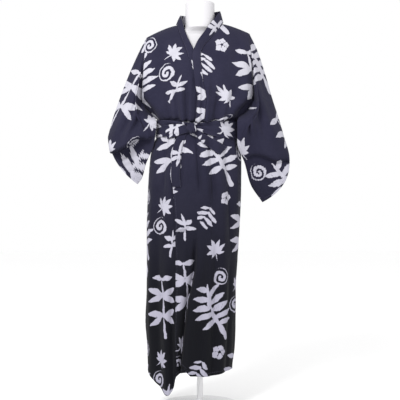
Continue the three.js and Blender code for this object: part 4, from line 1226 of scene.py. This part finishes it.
# dress form and stand
formShape = np.array([
    (800, 146, 92, 96), (803, 150, 96, 100), (812, 152, 98, 102), (880, 154, 104, 110), (960, 146, 100, 104),
    (1040, 130, 88, 86), (1110, 120, 80, 74), (1205, 136, 92, 86), (1290, 150, 100, 88),
    (1380, 164, 78, 84), (1430, 168, 60, 72), (1462, 160, 45, 54), (1480, 134, 38, 46),
    (1490, 100, 40, 48), (1498, 72, 47, 53), (1508, 60, 57, 57), (1540, 58, 56, 56),
    (1602, 58, 56, 56), (1606, 57, 55, 55), (1609, 54, 52, 52)], float)


# closed round body with flat ends
def closedTurn(name, nodes, heights, half, front, back, columns, material, slot):
    turn = np.linspace(0, 2 * math.pi, columns, endpoint=False)[None, :]
    deep = np.where(np.cos(turn) < 0, front[:, None], back[:, None])
    grid = np.stack([half[:, None] * np.sin(turn), deep * np.cos(turn), heights[:, None] + 0 * turn], -1)
    low = [grid[0] * (k, k, 1) for k in (0.02, 0.5, 0.9)]
    high = [grid[-1] * (k, k, 1) for k in (0.9, 0.5, 0.02)]
    full = np.concatenate([np.array(low), grid, np.array(high)], 0)
    rows = full.shape[0]
    points = full.reshape(-1, 3)
    faces = gridFaces(rows, columns, True).tolist()
    faces.append(list(range(columns))[::-1])
    faces.append([int(v) for v in (rows - 1) * columns + np.arange(columns)])
    mesh = bpy.data.meshes.new(name)
    mesh.from_pydata((points / 1000).tolist(), [], faces)
    mesh.materials.append(material)
    mesh.polygons.foreach_set("use_smooth", [True] * len(mesh.polygons))
    mesh.validate()
    piece = bpy.data.objects.new(name, mesh)
    bpy.context.scene.collection.objects.link(piece)
    bm = bmesh.new()
    bm.from_mesh(mesh)
    bmesh.ops.recalc_face_normals(bm, faces=bm.faces)
    bm.to_mesh(mesh)
    bm.free()
    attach(piece, "root")
    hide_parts(*nodes)
    return piece


# rows close together where the form turns sharply: from, to, rows
formRuns = ((800, 812, 7), (812, 1440, 90), (1440, 1520, 50), (1520, 1600, 12), (1600, 1609, 10))
fineZ = np.unique(np.concatenate([np.linspace(*run) for run in formRuns]))
formSizes = [along(formShape[:, 0], formShape[:, k], fineZ) for k in (1, 2, 3)]
closedTurn("form_torso", ["form_body"], fineZ, *formSizes, 96, formWhite, "form_shell")
poleZ = np.array([12.4, 13.4, 798.6, 799.6])
poleR = np.array([11.2, 12.0, 12.0, 11.2])
closedTurn("stand_pole", ["form_pole"], poleZ, *[poleR] * 3, 64, standWhite, "stand_paint")
baseZ = np.array([0.0, 0.5, 1.5, 8.5, 10.4, 11.6, 12.0])
baseR = np.array([148.8, 149.6, 150.0, 150.0, 149.3, 147.8, 145.6])
closedTurn("stand_base", ["form_base"], baseZ, *[baseR] * 3, 128, standWhite, "stand_paint")
print("dress form made")


# cut width and length in metres, how each is held, and what it lies on
cutSizes = {
    "body_left": ((0.225, 2.82), "draped", ["form_torso"]),
    "body_right": ((0.235, 2.90), "draped", ["form_torso"]),
    "overlap_left": ((0.14, 1.02), "draped", ["body_right"]),
    "overlap_right": ((0.14, 1.04), "draped", ["form_torso"]),
    "collar": ((0.034, 1.72), "draped", ["body_left", "body_right"]),
    "sleeve_right_cloth": ((0.30, 0.60), "draped", ["body_right"]),
    "sleeve_left_cloth": ((0.32, 0.64), "draped", ["body_left"]),
    "belt_round": ((0.064, 0.98), "gathered", ["body_left", "body_right"]),
    "belt_end": ((0.043, 0.16), "gathered", ["belt_round"]),
    "belt_bow": ((0.052, 0.095), "gathered", ["belt_round"]),
    "belt_knot_wrap": ((0.036, 0.10), "gathered", ["belt_round"]),
}
for name, (flat, held, under) in cutSizes.items():
    piece = clothPieces[name]
    area = sum(p.area for p in piece.data.polygons)
    print(name, "area", round(area, 4), "of flat", round(area / (flat[0] * flat[1]), 3))

# studio
studio = {
    "camera": (0.0, -4.0, 0.8208), "lens": 90.0, "floor": (0.92, 0.92, 0.92, 1),
    "lamps": (("keyLight", (-1.2, -2.5, 2.9), 0.9, 82), ("fillLight", (2.4, -2.2, 2.2), 2.4, 8)),
}


def makeStudio():
    scene = bpy.context.scene
    scene.view_settings.view_transform = "Standard"
    camData = bpy.data.cameras.new("camera")
    camData.lens = studio["lens"]
    camData.sensor_width = 36.0
    camera = bpy.data.objects.new("camera", camData)
    camera.location = studio["camera"]
    camera.rotation_euler = (math.pi / 2, 0, 0)
    scene.collection.objects.link(camera)
    scene.camera = camera
    world = bpy.data.worlds.new("studioWorld")
    world.use_nodes = True
    world.node_tree.nodes["Background"].inputs[0].default_value = (1, 1, 1, 1)
    world.node_tree.nodes["Background"].inputs[1].default_value = 1.0
    scene.world = world
    for name, place, size, energy in studio["lamps"]:
        data = bpy.data.lights.new(name, "AREA")
        data.size = size
        data.energy = energy
        light = bpy.data.objects.new(name, data)
        light.location = place
        light.rotation_euler = (Vector((0, 0, 1.0)) - Vector(place)).to_track_quat("-Z", "Y").to_euler()
        scene.collection.objects.link(light)
    mesh = bpy.data.meshes.new("floor")
    mesh.from_pydata([(-12, -12, 0), (12, -12, 0), (12, 12, 0), (-12, 12, 0)], [], [(0, 1, 2, 3)])
    n = Nodes("floorPaper")
    shader = n.add("ShaderNodeBsdfPrincipled")
    shader.inputs["Base Color"].default_value = studio["floor"]
    shader.inputs["Roughness"].default_value = 0.9
    shader.inputs["Emission Color"].default_value = (1, 1, 1, 1)
    shader.inputs["Emission Strength"].default_value = 0.06
    out = n.add("ShaderNodeOutputMaterial")
    n.put(out.inputs[0], shader.outputs[0])
    mesh.materials.append(n.material)
    floor = bpy.data.objects.new("floor", mesh)
    scene.collection.objects.link(floor)


makeStudio()
print("studio made")
